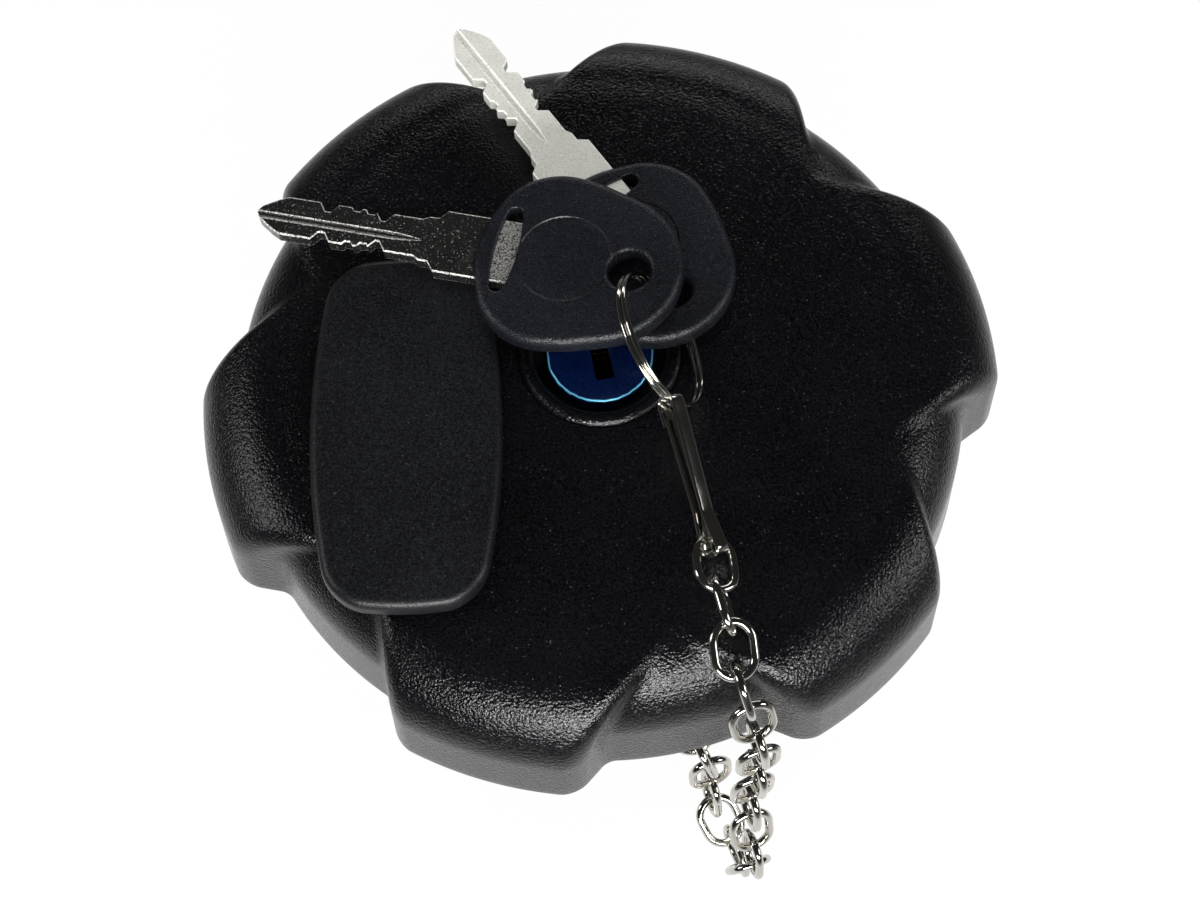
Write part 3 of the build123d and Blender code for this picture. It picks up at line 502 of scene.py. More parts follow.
def lobed_form(r, z, azimuth, inset, s):
    """Distance to the lobed grip: the recess form joined with the full form, which is kept only
    between two flanks that lean in towards the rim.  One lobe is folded onto all the others."""
    pitch = TURN / s.lobes
    fold = np.abs((azimuth - s.phase + pitch / 2) % pitch - pitch / 2)
    x, y = r * np.cos(fold), r * np.sin(fold)
    corner = np.sqrt(s.radius**2 - s.half_width**2)
    flank = (y - s.half_width + (x - corner) * np.tan(s.lean)) * np.cos(s.lean) + inset
    full = soft_and(turned_form(r, z, s.radius, inset, s), flank, max(s.edge - inset, 0.3 * MM))
    return soft_or(turned_form(r, z, s.recess, inset, s), full, s.foot + inset / 2)


def lobe_columns(s):
    """Azimuths round the grip, close together where the flanks and their roundings run."""
    pitch = TURN / s.lobes
    part = np.concatenate(
        [
            np.linspace(0, 0.30, 7, endpoint=False),
            np.linspace(0.30, 0.68, 36, endpoint=False),
            np.linspace(0.68, 1.0, 15),
        ]
    )
    fan = np.concatenate([-part[::-1], part[1:-1]]) * pitch / 2
    return (s.phase + np.arange(s.lobes)[:, None] * pitch + fan).ravel()


def grip_shell(s):
    """The grip as one closed skin.  Rays leave the middle of the rim at rising angles, and each
    stops where it meets the lobed form, outside and inside.  The bead is part of a circle, and
    the bore and boss are straight, so the rows run up the wall, in to the lock and back out."""
    azimuth = lobe_columns(s)
    rim = 0.5 * MM
    wall = np.linspace(np.arctan2(rim, s.radius), np.radians(10), 8)
    shoulder = np.linspace(np.radians(10.5), np.radians(28), 44)
    radii = np.linspace(43 * MM, s.bead_at + s.bead, 26)[1:]
    rise = np.concatenate([wall, shoulder, np.arctan2(dome(radii, s), radii)])[:, None]

    def skin(rise, inset):
        def inside(t):
            return lobed_form(t * np.cos(rise), t * np.sin(rise), azimuth[None], inset, s)

        start = np.full((len(rise), len(azimuth)), 8 * MM)
        t = reach(inside, start, start * 0 + 1.3 * s.radius)
        return t * np.cos(rise), t * np.sin(rise)

    def rows(r, z):
        r, z = np.atleast_1d(r), np.atleast_1d(z)
        return np.repeat(r[:, None], len(azimuth), 1), np.repeat(z[:, None], len(azimuth), 1)

    outer = skin(rise, 0.0)
    lip = (outer[0][:1] - rim * np.array([[1.0], [0.3]]), np.array([[0.0], [0.3 * rim]]) + 0 * outer[1][:1])
    middle = dome(s.bead_at, s) + s.bead_rise - s.bead
    t = np.radians(np.linspace(14.5, 165, 15))
    bead = rows(s.bead_at + s.bead * np.cos(t), middle + s.bead * np.sin(t))
    inner_top = dome(s.boss, s) - s.wall
    bore = rows(
        [s.bore, s.bore, s.boss, s.boss],
        [dome(s.bore, s), s.depth, s.depth, inner_top],
    )
    back = np.linspace(np.arctan2(inner_top, s.boss + s.wall), 0, 30)[:, None]
    inner = skin(back, s.wall)
    r = np.concatenate([lip[0], outer[0], bead[0], bore[0], inner[0]])
    z = np.concatenate([lip[1], outer[1], bead[1], bore[1], inner[1]])
    return cells(polar(r, azimuth[None], z + s.rim), (True, True))


def ceiling(r, azimuth, s, cover):
    """Height of the shell's inner side at a radius and an azimuth, sunk into it by cover."""
    low = np.zeros(np.broadcast(r, azimuth).shape)

    def inside(z):
        return lobed_form(r, z, azimuth, s.wall - cover, s)

    return reach(inside, low, low + 1.5 * s.height)


RIBS, POSTS = 12, 4
FIRST_RIB = 28  # degrees
RIB_END = 48.6 * MM
RIB_SUNK = 0.8 * MM  # into the ceiling
POST_AT, POST_R, POST_BORE = 24 * MM, 3.5 * MM, 1.5 * MM


def grip_ribs(s):
    """Radial ribs: an upright slip of plastic from the boss to the wall, whose top edge follows
    the ceiling.  A round screw post stands on every third rib."""
    made = []
    r = np.linspace(s.boss - MM, RIB_END, 24)
    for k in range(RIBS):
        azimuth = np.radians(FIRST_RIB + 360 / RIBS * k)
        top = ceiling(r, azimuth, s, RIB_SUNK) + s.rim
        foot = np.full_like(top, s.depth + s.rim)
        out = polar(1, azimuth, 0)
        side = polar(MM, azimuth + np.pi / 2, 0)
        base = r[:, None] * out
        up = np.array([0, 0, 1.0])
        corners = [base + side + foot[:, None] * up, base - side + foot[:, None] * up]
        corners += [base - side + top[:, None] * up, base + side + top[:, None] * up]
        made.append(cells(capped(np.stack(corners, axis=1)), (False, True)))
    top = dome(POST_AT, s) - s.wall / 2 + s.rim
    foot = s.depth + s.rim
    post = [(POST_BORE, foot), (POST_R, foot), (POST_R, top), (POST_BORE, top)]
    for k in range(POSTS):
        x, y, _ = polar(POST_AT, np.radians(FIRST_RIB + 360 / POSTS * k), 0)
        made.append(turned(post, 40, (x, y)))
    return made


PAD_R, PAD_EDGE = 4.6 * MM, 0.3 * MM  # pad round the flap's pivot
PAD_GAP = 0.3 * MM  # room between that pad and the flap


class FILLERCAP_OT_grip(bpy.types.Operator):
    """Moulded grip with its lobes, lock bead, pivot pad and ribs"""

    bl_idname = "filler_cap.grip"
    bl_label = "Grip"

    def execute(self, context):
        s, f = sizes("grip"), sizes("flap")
        pad_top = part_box("dust_flap")[0].z - PAD_GAP
        pad = [(0, pad_top), (PAD_R - PAD_EDGE, pad_top), (PAD_R, pad_top - PAD_EDGE)]
        pad += [(PAD_R, s.rim + s.height), (0, s.rim + s.height)]
        patches = [grip_shell(s), *grip_ribs(s), turned(pad, 64, (f.pivot_x, f.pivot_y), False)]
        piece = solid("grip_shell", patches, 38)
        tint = sizes("colours").grip
        finish = moulding("pebble-grained ABS moulding", tint, 0.36 * MM, 0.11 * MM, 0.16, 0.12)
        wear(piece, finish, "cap_handle")
        return {"FINISHED"}


# ---- flap ----
def flap_plan(x, y, s):
    """Distance to the flap's plan: two long side arcs and two end arcs with rounded corners.
    Each arc's radius comes from its chord and its bulge."""
    half = s.length / 2
    sag = s.mid_half - s.end_half
    side_r = ((half - s.bulge) ** 2 + sag**2) / (2 * sag)
    end_r = (s.end_half**2 + s.bulge**2) / (2 * s.bulge)
    side = np.hypot(np.abs(x) + side_r - s.mid_half, y) - side_r
    end = np.hypot(x, np.abs(y) + end_r - half) - end_r
    return soft_and(side, end, s.corner)


class FILLERCAP_OT_flap(bpy.types.Operator):
    """Swinging dust flap: rows of its plan taken in and lifted along a section with a round edge"""

    bl_idname = "filler_cap.flap"
    bl_label = "Dust flap"

    def execute(self, context):
        s = sizes("flap")
        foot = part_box("dust_flap")[0].z
        t = np.radians(np.linspace(0, 90, 12))
        inset = np.concatenate([[1.7, 1.7, 0.25, 0.0], s.edge / MM * (1 - np.cos(t)), [2.6, 4.5, 7.0]]) * MM
        level = np.concatenate(
            [[1.0, 0.0, 0.0, 0.25], (s.thick - s.edge) / MM + s.edge / MM * np.sin(t), [3.0, 3.0, 3.0]]
        )
        azimuth = np.linspace(0, TURN, 320, endpoint=False)[None]
        inset = inset[:, None]

        def inside(reach_out):
            return flap_plan(reach_out * np.cos(azimuth), reach_out * np.sin(azimuth), s) + inset

        low = np.zeros((len(inset), azimuth.size))
        r = reach(inside, low, low + s.length)
        r = np.concatenate([0 * r[:1], r[:1] * 0.5, r, r[-1:] * 0.5, 0 * r[-1:]])
        z = np.concatenate([[1.0, 1.0], level, [3.0, 3.0]])[:, None] * MM + foot
        grid = polar(r, azimuth, z)
        grid[..., 0] += s.pivot_x
        grid[..., 1] += s.pivot_y + s.tail - s.length / 2
        piece = solid("flap_shell", [cells(grid, (False, True))], 40)
        tint = sizes("colours").flap
        finish = moulding("fine-grained ABS moulding", tint, 0.30 * MM, 0.03 * MM, 0.42, 0.10)
        wear(piece, finish, "dust_flap")
        return {"FINISHED"}


# ---- lock ----
FACE_R, FACE_EDGE, FACE_DEEP = 7.6 * MM, 0.45 * MM, 2.9 * MM
SLOT_LEAN = np.radians(10)
SLOT_WIDE, SLOT_LONG = 1.3 * MM, 4.0 * MM  # half sizes
SLOT_ROUND, SLOT_EDGE, SLOT_DEEP = 0.25 * MM, 0.12 * MM, 2.6 * MM
HIGHLIGHT_LINE = 7.62 * MM  # from the face's middle to the painted highlight line round its rim, which the noise then draws inwards


class FILLERCAP_OT_lock(bpy.types.Operator):
    """Blue lock face with its key slot"""

    bl_idname = "filler_cap.lock"
    bl_label = "Lock face"

    def execute(self, context):
        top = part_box("lock_face")[1].z
        azimuth = np.linspace(0, TURN, 288, endpoint=False)[None]

        def slot(r):
            x, y = r * np.cos(azimuth - SLOT_LEAN), r * np.sin(azimuth - SLOT_LEAN)
            return soft_and(np.abs(x) - SLOT_WIDE, np.abs(y) - SLOT_LONG, SLOT_ROUND)

        low = np.zeros((1, azimuth.size))
        key = reach(slot, low, low + 6 * MM)
        t = np.radians(np.linspace(0, 90, 7))
        rim = FACE_R - FACE_EDGE + FACE_EDGE * np.sin(t)
        r = np.concatenate(
            [key, key, key + SLOT_EDGE, key * 0.5 + 3.2 * MM]
            + [low + v for v in rim]
            + [low + FACE_R, low + 6.0 * MM, key + 1.0 * MM]
        )
        drop = FACE_EDGE * np.cos(t) - FACE_EDGE
        z = np.concatenate([[-SLOT_DEEP, -SLOT_EDGE, 0, 0], drop, [-FACE_DEEP, -FACE_DEEP, -SLOT_DEEP]])
        face = solid("lock_face_cap", [cells(polar(r, azimuth, z[:, None] + top), (True, True))], 40)
        wear(face, blue_face(sizes("colours").face, (0, 0, top)), "lock_face")
        return {"FINISHED"}


def blue_face(tint, middle):
    """Die-cast face, sprayed with blue metallic lacquer: flakes glint, and round the edge a thin pale
    cyan line of painted highlight is drawn into the colour, broken in places."""
    name = "blue metallic lacquer"
    made, tree, shader = blank(name)
    if made is None:
        return bpy.data.materials[name]
    place = object_place(tree)
    flake = pebbles(tree, place, 3600.0, "Color")
    tone = blend(tree, flake, shade(tint, 0.4), shade(tint, 1.7))
    # Painted highlight: a thin pale cyan line round the rim, wobbled by noise and broken in places.
    rim_wobble = noise(tree, place, 700.0, 3.0)
    reached = maths(tree, "MULTIPLY_ADD", rim_wobble, 0.4 * MM, apart(tree, place, middle))
    off_line = maths(tree, "ABSOLUTE", maths(tree, "SUBTRACT", reached, HIGHLIGHT_LINE))
    painted_rim_highlight = ramp(tree, off_line, 0.06 * MM, 0.16 * MM, 0.9, 0.0)
    tone = blend(tree, painted_rim_highlight, tone, linear("#6cc8f0"))
    feed(tree, shader, {"Base Color": tone, "Normal": bump(tree, flake, 0.012 * MM)})
    feed(tree, shader, {"Metallic": 0.5, "Roughness": 0.35, "Coat Weight": 0.6, "Coat Roughness": 0.08})
    return made


# ---- keys ----
KEYS = {
    "key_1": (np.array([4.4, 6.65, 79.4]) * MM, 165.5, 0.084),
    "key_2": (np.array([10.1, 6.25, 74.2]) * MM, 123.5, 0.045),
}
BOW_ROUNDS = np.array([[4.25, 0, 11.7], [9.0, 0, 13.1], [11.1, 3.5, 9.95], [11.1, -3.5, 9.95]]) * MM
CUT_AT = 5.2 * MM


def key_axes(name):
    """Place and axes of a key: X runs down the blade, Z is square to the bow."""
    at, azimuth, dip = KEYS[name]
    t = np.radians(azimuth)
    along = unit(np.array([np.cos(t), np.sin(t), -dip]))
    side = np.array([-np.sin(t), np.cos(t), 0])
    return at, along, side, np.cross(along, side)


def bow_plan(x, y):
    """Distance to the bow's plan, the hull of four circles: the largest gap to any tangent line."""
    t = np.linspace(0, TURN, 240, endpoint=False)
    normal = np.stack([np.cos(t), np.sin(t)])
    support = (BOW_ROUNDS[:, :2] @ normal + BOW_ROUNDS[:, 2:]).max(axis=0)
    return (x[..., None] * normal[0] + y[..., None] * normal[1] - support).max(axis=-1)


def window_plan(x, y):
    """Distance to the bow's window: the overlap of two circles, cut off by two lines and rounded.
    The circles' radius comes from the half height and the loss of half width towards the ends."""
    s = sizes("keys")
    sag = s.window_wide - s.window_end
    r = (s.window_high**2 + sag**2) / (2 * sag)
    side = np.hypot(np.abs(x - s.window_at) + r - s.window_wide, y) - r
    return soft_and(side, np.abs(y) - s.window_high, 0.8 * MM)


def lip(distance, radius):
    """Drop of a face towards an edge with a quarter-round of that radius."""
    near = np.clip(radius + distance, 0, radius)
    return radius - np.sqrt(radius**2 - near**2)


def bow_half(centre, opening, edge, s):
    """One part of the bow, from the edge of its opening out to the plan or the line between the
    two parts.  Rows crowd at both ends, where the face drops by a quarter-round, and columns crowd
    at the window's two ends."""
    corner = reach(lambda y: bow_plan(np.full_like(y, CUT_AT), y), np.zeros(1), np.full(1, 20 * MM))[0]
    sign = 1 if centre > CUT_AT else -1
    turn = np.arctan2(corner, (CUT_AT - centre) * sign)
    azimuth = np.linspace(-turn, turn, 170)
    azimuth = azimuth + 0.32 * np.sin(2 * azimuth) * np.sin(np.pi * azimuth / turn) ** 2 * (sign > 0)
    if sign < 0:
        azimuth = azimuth + np.pi

    def outside(t):
        return bow_plan(centre + t * np.cos(azimuth), t * np.sin(azimuth))

    far = reach(outside, np.zeros(len(azimuth)), np.full(len(azimuth), 40 * MM))
    out = np.stack([centre + far * np.cos(azimuth), far * np.sin(azimuth)], axis=-1)
    cut = np.linspace(corner, -corner, 56)[1:-1] * sign
    out = np.concatenate([out, np.stack([np.full_like(cut, CUT_AT), cut], axis=-1)])
    ray = out - [centre, 0]
    bearing = np.arctan2(ray[:, 1], ray[:, 0])

    def hole(t):
        return opening(centre + t * np.cos(bearing), t * np.sin(bearing))

    near = reach(hole, np.zeros(len(bearing)), np.full(len(bearing), 9 * MM))
    start = np.stack([centre + near * np.cos(bearing), near * np.sin(bearing)], axis=-1)
    v = (0.5 - 0.5 * np.cos(np.linspace(0, np.pi, 34)))[:, None, None]
    flat = start * (1 - v) + out * v
    x, y = flat[..., 0], flat[..., 1]
    drop = lip(bow_plan(x, y), s.edge) + lip(-opening(x, y), edge)
    z = s.thick / 2 - drop
    face = np.stack([x, y, z], axis=-1)
    under = face * [1, 1, -1]
    rim = np.stack([face[-1], under[-1]])
    on_plan = np.abs(bow_plan(x[-1], y[-1])) < 0.01 * MM
    rim = rim[:, on_plan]
    return [
        cells(face, (False, True)),
        cells(under, (False, True)),
        cells(np.stack([face[0], under[0]]), (False, True)),
        cells(rim),
    ]


def hole_plan(x, y):
    return np.hypot(x, y) - sizes("keys").hole


SHANK_FROM = 13 * MM
BLANK = [(13, 4.9), (27.3, 4.9), (28.3, 3.6), (29.7, 3.55)]  # place and half width up to the collar, mm
COLLAR_END = 30.6  # mm
CUTS = np.array([[36.15, 1.35, 0.35], [38.05, 0.6, 0.5], [40.25, 0.5, 0.45], [44.35, 1.3, 0.45]]) * MM
CUT_SLOPE = 1.4  # drop of a cut's ramp for each millimetre along


def blade_edge(s):
    """Stations down the blade and its half width at each.  The blank steps in at shoulder and
    collar and runs to a point.  A cut takes its depth over its flat, and less beside it, by the
    ramp's slope times the distance; where cuts meet, the deeper one counts."""
    x = np.linspace(SHANK_FROM, s.reach, 330)
    end, tip = s.reach / MM, s.tip / MM
    steps = [*BLANK, (COLLAR_END, s.half / MM), (end - tip, s.half / MM)]
    steps += [(end - 0.68 * tip, 2.45), (end - 0.14 * tip, 1.1), (end, 0.3)]
    at, half = np.array(steps).T * MM
    middle, depth, half_flat = CUTS.T
    beside = np.maximum(np.abs(x[:, None] - middle) - half_flat, 0)
    return x, np.interp(x, at, half) - np.maximum(depth - CUT_SLOPE * beside, 0).max(axis=1)


def key_blade(name, s):
    """Flat blade as a section carried down its stations: broken edges, and a milled groove in each
    face, off the middle by opposite amounts, that comes to a point behind the collar.  Edges, lips
    and one groove wall carry painted highlights, and so does the shank that shows in the bow's window."""
    x, half = blade_edge(s)
    run = np.clip((x - 30 * MM) / (4 * MM), 0, 1) ** 0.6
    wide, deep = run * s.groove / 2, run * s.groove_deep
    top, edge, lip_w = s.blade / 2 + 0 * x, 0.18 * MM, 0.07 * MM
    middle, cut = 0.4 * MM, run > 0.05
    # Section points: across, up, and their share of painted highlight.
    upper = [(half, top - 1.4 * edge, 0), (half, top - edge, 1)]
    upper += [(half - edge, top, 1), (half - 1.4 * edge, top, 0)]
    upper += [(middle + wide + lip_w, top, 0), (middle + wide, top, cut)]
    upper += [(middle + 0.55 * wide, top - 0.4 * deep, cut), (middle + 0.3 * wide, top - deep, 0.7 * cut)]
    upper += [(middle - 0.45 * wide, top - deep, 0), (middle - 0.6 * wide, top - 0.4 * deep, 0)]
    upper += [(middle - wide, top, cut), (middle - wide - lip_w, top, 0)]
    upper += [(1.4 * edge - half, top, 0), (edge - half, top, 1), (-half, top - edge, 1)]
    upper += [(-half, top - 1.4 * edge, 0)]
    upper = np.array([[y + 0 * x, z, bright + 0 * x] for y, z, bright in upper]).transpose(2, 0, 1)
    upper[:, 4:12, 0] = np.clip(upper[:, 4:12, 0], 1.4 * edge - half[:, None], half[:, None] - 1.4 * edge)
    section = np.concatenate([upper, upper * (-1, -1, 1)], axis=1)
    # Painted highlight on the shank that shows in the bow's window.
    bright = np.maximum(section[..., 2], np.where(x < 20 * MM, 0.45, 0)[:, None])
    grid = np.concatenate([x[:, None, None] + 0 * section[..., :1], section[..., :2]], axis=-1)
    at, along, side, up = key_axes(name)
    made = solid(name + "_steel", [placed(cells(capped(grid), (False, True)), at, along, side, up)], 20)
    points = np.empty(len(made.data.vertices) * 3)
    made.data.vertices.foreach_get("co", points)
    local = (points.reshape(-1, 3) - at) @ np.stack([along, side, up]).T
    row = np.abs(local[:, :1] - x).argmin(axis=1)
    gap = np.linalg.norm(section[row, :, :2] - local[:, None, 1:], axis=-1)
    # Each point's share of painted highlight is stored as a point attribute for the material.
    painted_highlight = made.data.attributes.new("painted_highlight", "FLOAT", "POINT")
    painted_highlight.data.foreach_set("value", bright[row, gap.argmin(axis=1)].astype(np.float32))
    return made


class FILLERCAP_OT_keys(bpy.types.Operator):
    """Two keys: moulded bows with a ring hole and a lens-shaped window, on bevelled steel blades"""

    bl_idname = "filler_cap.keys"
    bl_label = "Keys"

    def execute(self, context):
        s, tints = sizes("keys"), sizes("colours")
        # key_1's steel is the darker copy, painted shade; both steels carry painted highlights and glints.
        steels = {
            "key_1": metal("key steel, polished", tints.shaded_blade, 0.2, 3.0, 0.02, 0.5, 0.06, tints.highlight_tint),
            "key_2": metal("key steel, frosted", tints.blade, 0.45, 3.0, 0.01, 0.25, 0.8, tints.highlight_tint),
        }
        for name, steel in steels.items():
            at, along, side, up = key_axes(name)
            patches = bow_half(0.0, hole_plan, s.hole_edge, s)
            patches += bow_half(s.window_at, window_plan, 0.4 * MM, s)
            patches = [placed(patch, at, along, side, up) for patch in patches]
            bow = solid(name + "_bow", patches, 35)
            disc = (tuple(at + along * s.disc_at), float(np.hypot(s.disc, s.thick / 2)))
            finish = moulding(name + " bow, satin ABS", tints.bow, 0.22 * MM, 0.07 * MM, 0.30, 0.16, disc)
            wear(bow, finish, name + "_head")
            wear(key_blade(name, s), steel, name + "_blade")
        return {"FINISHED"}


# ---- ring, clip and chain ----
RING_AT = np.array([8.35, -2.9, 78.25]) * MM
RING_NORMAL = (0.851, 0.164, 0.498)
CLIP_TOP = np.array([9.45, -12.75, 78.9]) * MM
CLIP_FOOT = np.array([14.6645, -30.648, 71.8]) * MM
CLIP_TILT = 55


def bright_nickel():
    """Barrel-plated steel wire: a mirror, so it shows the dark above and the pale floor side by side."""
    return metal("barrel-plated bright nickel", sizes("colours").nickel, 0.09, 2.2, 0.012)


class FILLERCAP_OT_ring(bpy.types.Operator):
    """Split ring: round wire carried along a screw line of nearly two turns"""

    bl_idname = "filler_cap.ring"
    bl_label = "Split ring"

    def execute(self, context):
        s = sizes("ring")
        t = np.linspace(0, s.turns * TURN, 360)
        rise = s.pitch * t / TURN - s.pitch * s.turns / 2
        path = polar(s.radius, t, rise)
        up = unit(np.array(RING_NORMAL))
        across = unit(np.array([-up[1], up[0], 0]))
        wire = carried(path, (0, 0, 1), circle(s.wire / 2, 20))
        piece = solid("ring_wire", [placed(wire, RING_AT, across, np.cross(up, across), up)], 50)
        wear(piece, bright_nickel(), "split_ring")
        return {"FINISHED"}


class FILLERCAP_OT_clip(bpy.types.Operator):
    """Snap clip folded from one strip, hooked over the ring and round the first link"""

    bl_idname = "filler_cap.clip"
    bl_label = "Snap clip"

    def execute(self, context):
        s = sizes("ring")
        along = unit(CLIP_FOOT - CLIP_TOP)
        level = unit(np.cross(along, (0, 0, 1)))
        tilt = np.radians(CLIP_TILT)
        normal = np.cross(level, along) * np.cos(tilt) + level * np.sin(tilt)
        top = -np.linalg.norm(CLIP_FOOT - CLIP_TOP) / MM
        half, over, waist = 1.5, 0.85, 4.6  # hook's half width, its reach past the ring, waist's place
        bends = [(top + 3.0, -half), (top - over, -half), (top - over, half), (-waist, half / 2)]
        bends += [(1.5, 1.7), (1.5, -1.7), (-waist, -half / 2), (top + 2.2, -0.8)]
        route = rounded_route(np.array(bends) * MM, 0.9 * MM)
        path = np.column_stack([route, np.zeros(len(route))])
        section = rounded_box(s.strip, s.strip_width, 0.28 * MM)
        strip = carried(path, (0, 0, 1), section)
        axes = (along, np.cross(normal, along), normal)
        piece = solid("clip_strip", [placed(strip, CLIP_FOOT, *axes)], 40)
        wear(piece, bright_nickel(), "snap_clip")
        return {"FINISHED"}


def islands(points, triangles):
    """Number of the separate piece that each point belongs to: the lowest number spreads until
    every triangle holds one number."""
    label = np.arange(len(points))
    while True:
        low = label[triangles].min(axis=1)
        spread = label.copy()
        np.minimum.at(spread, triangles.ravel(), np.repeat(low, 3))
        spread = spread[spread]
        if (spread == label).all():
            return label
        label = spread


def link_places(name):
    """Middle and axes of every link of a node: the directions in which its points spread most,
    less and least are its length, width and thickness."""
    mesh = frame["nodes"][name].data
    points = np.empty(len(mesh.vertices) * 3)
    mesh.vertices.foreach_get("co", points)
    mesh.calc_loop_triangles()
    corners = np.empty(len(mesh.loop_triangles) * 3, int)
    mesh.loop_triangles.foreach_get("vertices", corners)
    points = points.reshape(-1, 3)
    merged, back = np.unique(np.round(points, 7), axis=0, return_inverse=True)
    label = islands(merged, back.ravel()[corners].reshape(-1, 3))
    for number in np.unique(label):
        own = merged[label == number]
        middle = own.mean(axis=0)
        _, axes = np.linalg.eigh(np.cov((own - middle).T))
        yield middle, axes[:, 2], np.cross(axes[:, 0], axes[:, 2]), axes[:, 0]


def link_wire(s):
    """One oval link: two straight runs and two half circles, as one closed path for round wire."""
    bend = (s.link_width - s.link_wire) / 2
    run = (s.link_length - s.link_width) / 2
    t = np.linspace(-np.pi / 2, np.pi / 2, 26)
    arc = np.stack([run + bend * np.cos(t), bend * np.sin(t)], axis=-1)
    oval = np.concatenate([arc, -arc])
    path = np.column_stack([oval, np.zeros(len(oval))])
    return carried(path, (0, 0, 1), circle(s.link_wire / 2, 18), closed=True)


class FILLERCAP_OT_chain(bpy.types.Operator):
    """Chain: one plain oval link laid in the place of every link of the solids"""

    bl_idname = "filler_cap.chain"
    bl_label = "Chain"

    def execute(self, context):
        wire = link_wire(sizes("ring"))
        for name in ("chain_top", "chain_hanging"):
            links = [placed(wire, *place) for place in link_places(name)]
            if not links:
                raise RuntimeError(f"no links found in {name}")
            piece = solid(name + "_links", links, 60)
            wear(piece, bright_nickel(), name)
        return {"FINISHED"}


# ---- parts under the grip ----
class FILLERCAP_OT_seal(bpy.types.Operator):
    """Rubber seal and the pressed dish that carries it, both turned"""

    bl_idname = "filler_cap.seal"
    bl_label = "Seal"

    def execute(self, context):
        tints = sizes("colours")
        low, high = (corner.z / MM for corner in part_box("gasket"))
        outer, inner = 47.5, 34.65
        half, deep = 0.5, 0.6
        groove = ((-half, 0), (-half, deep), (half, deep), (half, 0))
        grooves = [(r + d, low + h) for r in (inner + 3, outer - 3) for d, h in groove]
        profile = [(inner, high), (inner, low + 0.3), (inner + 0.3, low), *grooves]
        profile += [(outer - 0.4, low), (outer, low + 0.4), (outer, high)]
        seal = solid("seal_ring", [turned(np.array(profile) * MM)], 35)
        wear(seal, rubber("moulded nitrile rubber", tints.rubber), "gasket")
        foot, top = (corner.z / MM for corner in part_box("pressure_plate"))
        lip_r, sleeve, wall = 48.6, 33.4, 1.2
        seat, lip_foot = outer + 0.05, low + 1.6
        dish = [(sleeve, foot), (sleeve + wall, foot), (sleeve + wall, high), (seat, high)]
        dish += [(seat, lip_foot), (lip_r, lip_foot), (lip_r, top - 0.5)]
        dish += [(lip_r - 0.15, top - 0.15), (lip_r - 0.5, top), (sleeve, top)]
        plate = solid("seal_dish", [turned(np.array(dish) * MM)], 35)
        zinc = metal("passivated zinc plate", tints.zinc, 0.28, 6.0, 0.01, 0.12)
        wear(plate, zinc, "pressure_plate")
        return {"FINISHED"}


def carried_over():
    """The nodes that keep their own shape, with the material of each."""
    t = sizes("colours")
    inner = moulding("plain nylon moulding", t.inner, 0.25 * MM, 0.008 * MM, 0.48)
    cage = moulding("acetal moulding", t.cage, 0.25 * MM, 0.006 * MM, 0.40)
    zinc = metal("passivated zinc plate", t.zinc, 0.28, 6.0, 0.01, 0.12)
    screw = metal("zinc-plated screw steel", shade(t.zinc, 0.9), 0.24, 2.0, 0.008)
    spring = metal("oiled spring steel", t.steel, 0.22, 2.0, 0.006)
    casting = metal("zinc die casting", t.casting, 0.42, 1.6, 0.02, 0.3)
    brass = metal("machined brass", t.brass, 0.25, 3.0, 0.006)
    ball = moulding("turned acetal ball", linear("#d8d6cf"), 0.4 * MM, 0.004 * MM, 0.32)
    seal = rubber("moulded nitrile rubber", t.rubber)
    return {
        "spigot_body": inner,
        "vent_cage": cage,
        "bolt_carrier": cage,
        "vent_disc": cage,
        "bayonet_plate": zinc,
        "bolt_right": zinc,
        "bolt_left": zinc,
        "lock_wafers": brass,
        "lock_plug": brass,
        "lock_barrel": casting,
        "lock_cam": casting,
        "handle_screws": screw,
        "cage_screws": screw,
        "bayonet_circlip": spring,
        "wave_spring": spring,
        "vent_spring": spring,
        "flap_spring": spring,
        "flap_clip": spring,
        "flap_pin": moulding("pin, satin ABS", t.flap, 0.30 * MM, 0.01 * MM, 0.42),
        "rollover_ball": ball,
        "vent_seal": seal,
    }


# Joint of each spring, and its travel.
SPRINGS = {"wave_spring": ("seal_float", 1.8 * MM), "vent_spring": ("vent_lift", 2.5 * MM)}


class FILLERCAP_OT_inner(bpy.types.Operator):
    """Parts that keep their solids' shape: each gets its material, and its edges shade round.
    A spring gets a mesh of its own."""

    bl_idname = "filler_cap.inner"
    bl_label = "Parts under the grip"

    def execute(self, context):
        for name, material in carried_over().items():
            piece = finished(name + "_skin", frame["nodes"][name].data.copy(), 30)
            wear(piece, material, name)
            if name in SPRINGS:
                joint, travel = SPRINGS[name]
                low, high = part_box(name)
                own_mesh(piece)
        return {"FINISHED"}


# ---- stage ----
def sky():
    """Plain studio surround: white to the camera, dark to gloss so that only lamps and floor are
    mirrored and plating shows black beside white, and a soft even grey to everything else."""
    world = bpy.data.worlds.new("studio")
    bpy.context.scene.world = world
    world.use_nodes = True
    tree = world.node_tree
    tree.nodes.clear()
    path = node(tree, "ShaderNodeLightPath").outputs
    even, dark, white = (
        node(tree, "ShaderNodeBackground", {"Color": (1, 1, 1, 1), "Strength": strength}).outputs[0]
        for strength in (0.45, 0.02, 1.0)
    )
    lit = mixed(tree, path["Is Glossy Ray"], even, dark)
    surface = mixed(tree, straight(tree, path), lit, white)
    node(tree, "ShaderNodeOutputWorld", {"Surface": surface})


def mixed(tree, share, first, second):
    """Two shaders mixed by a share."""
    return node(tree, "ShaderNodeMixShader", {0: share, 1: first, 2: second}).outputs[0]


def straight(tree, path):
    """One for a ray that comes from the camera or through something clear, else nought."""
    return maths(tree, "MAXIMUM", path["Is Camera Ray"], path["Is Transmission Ray"])


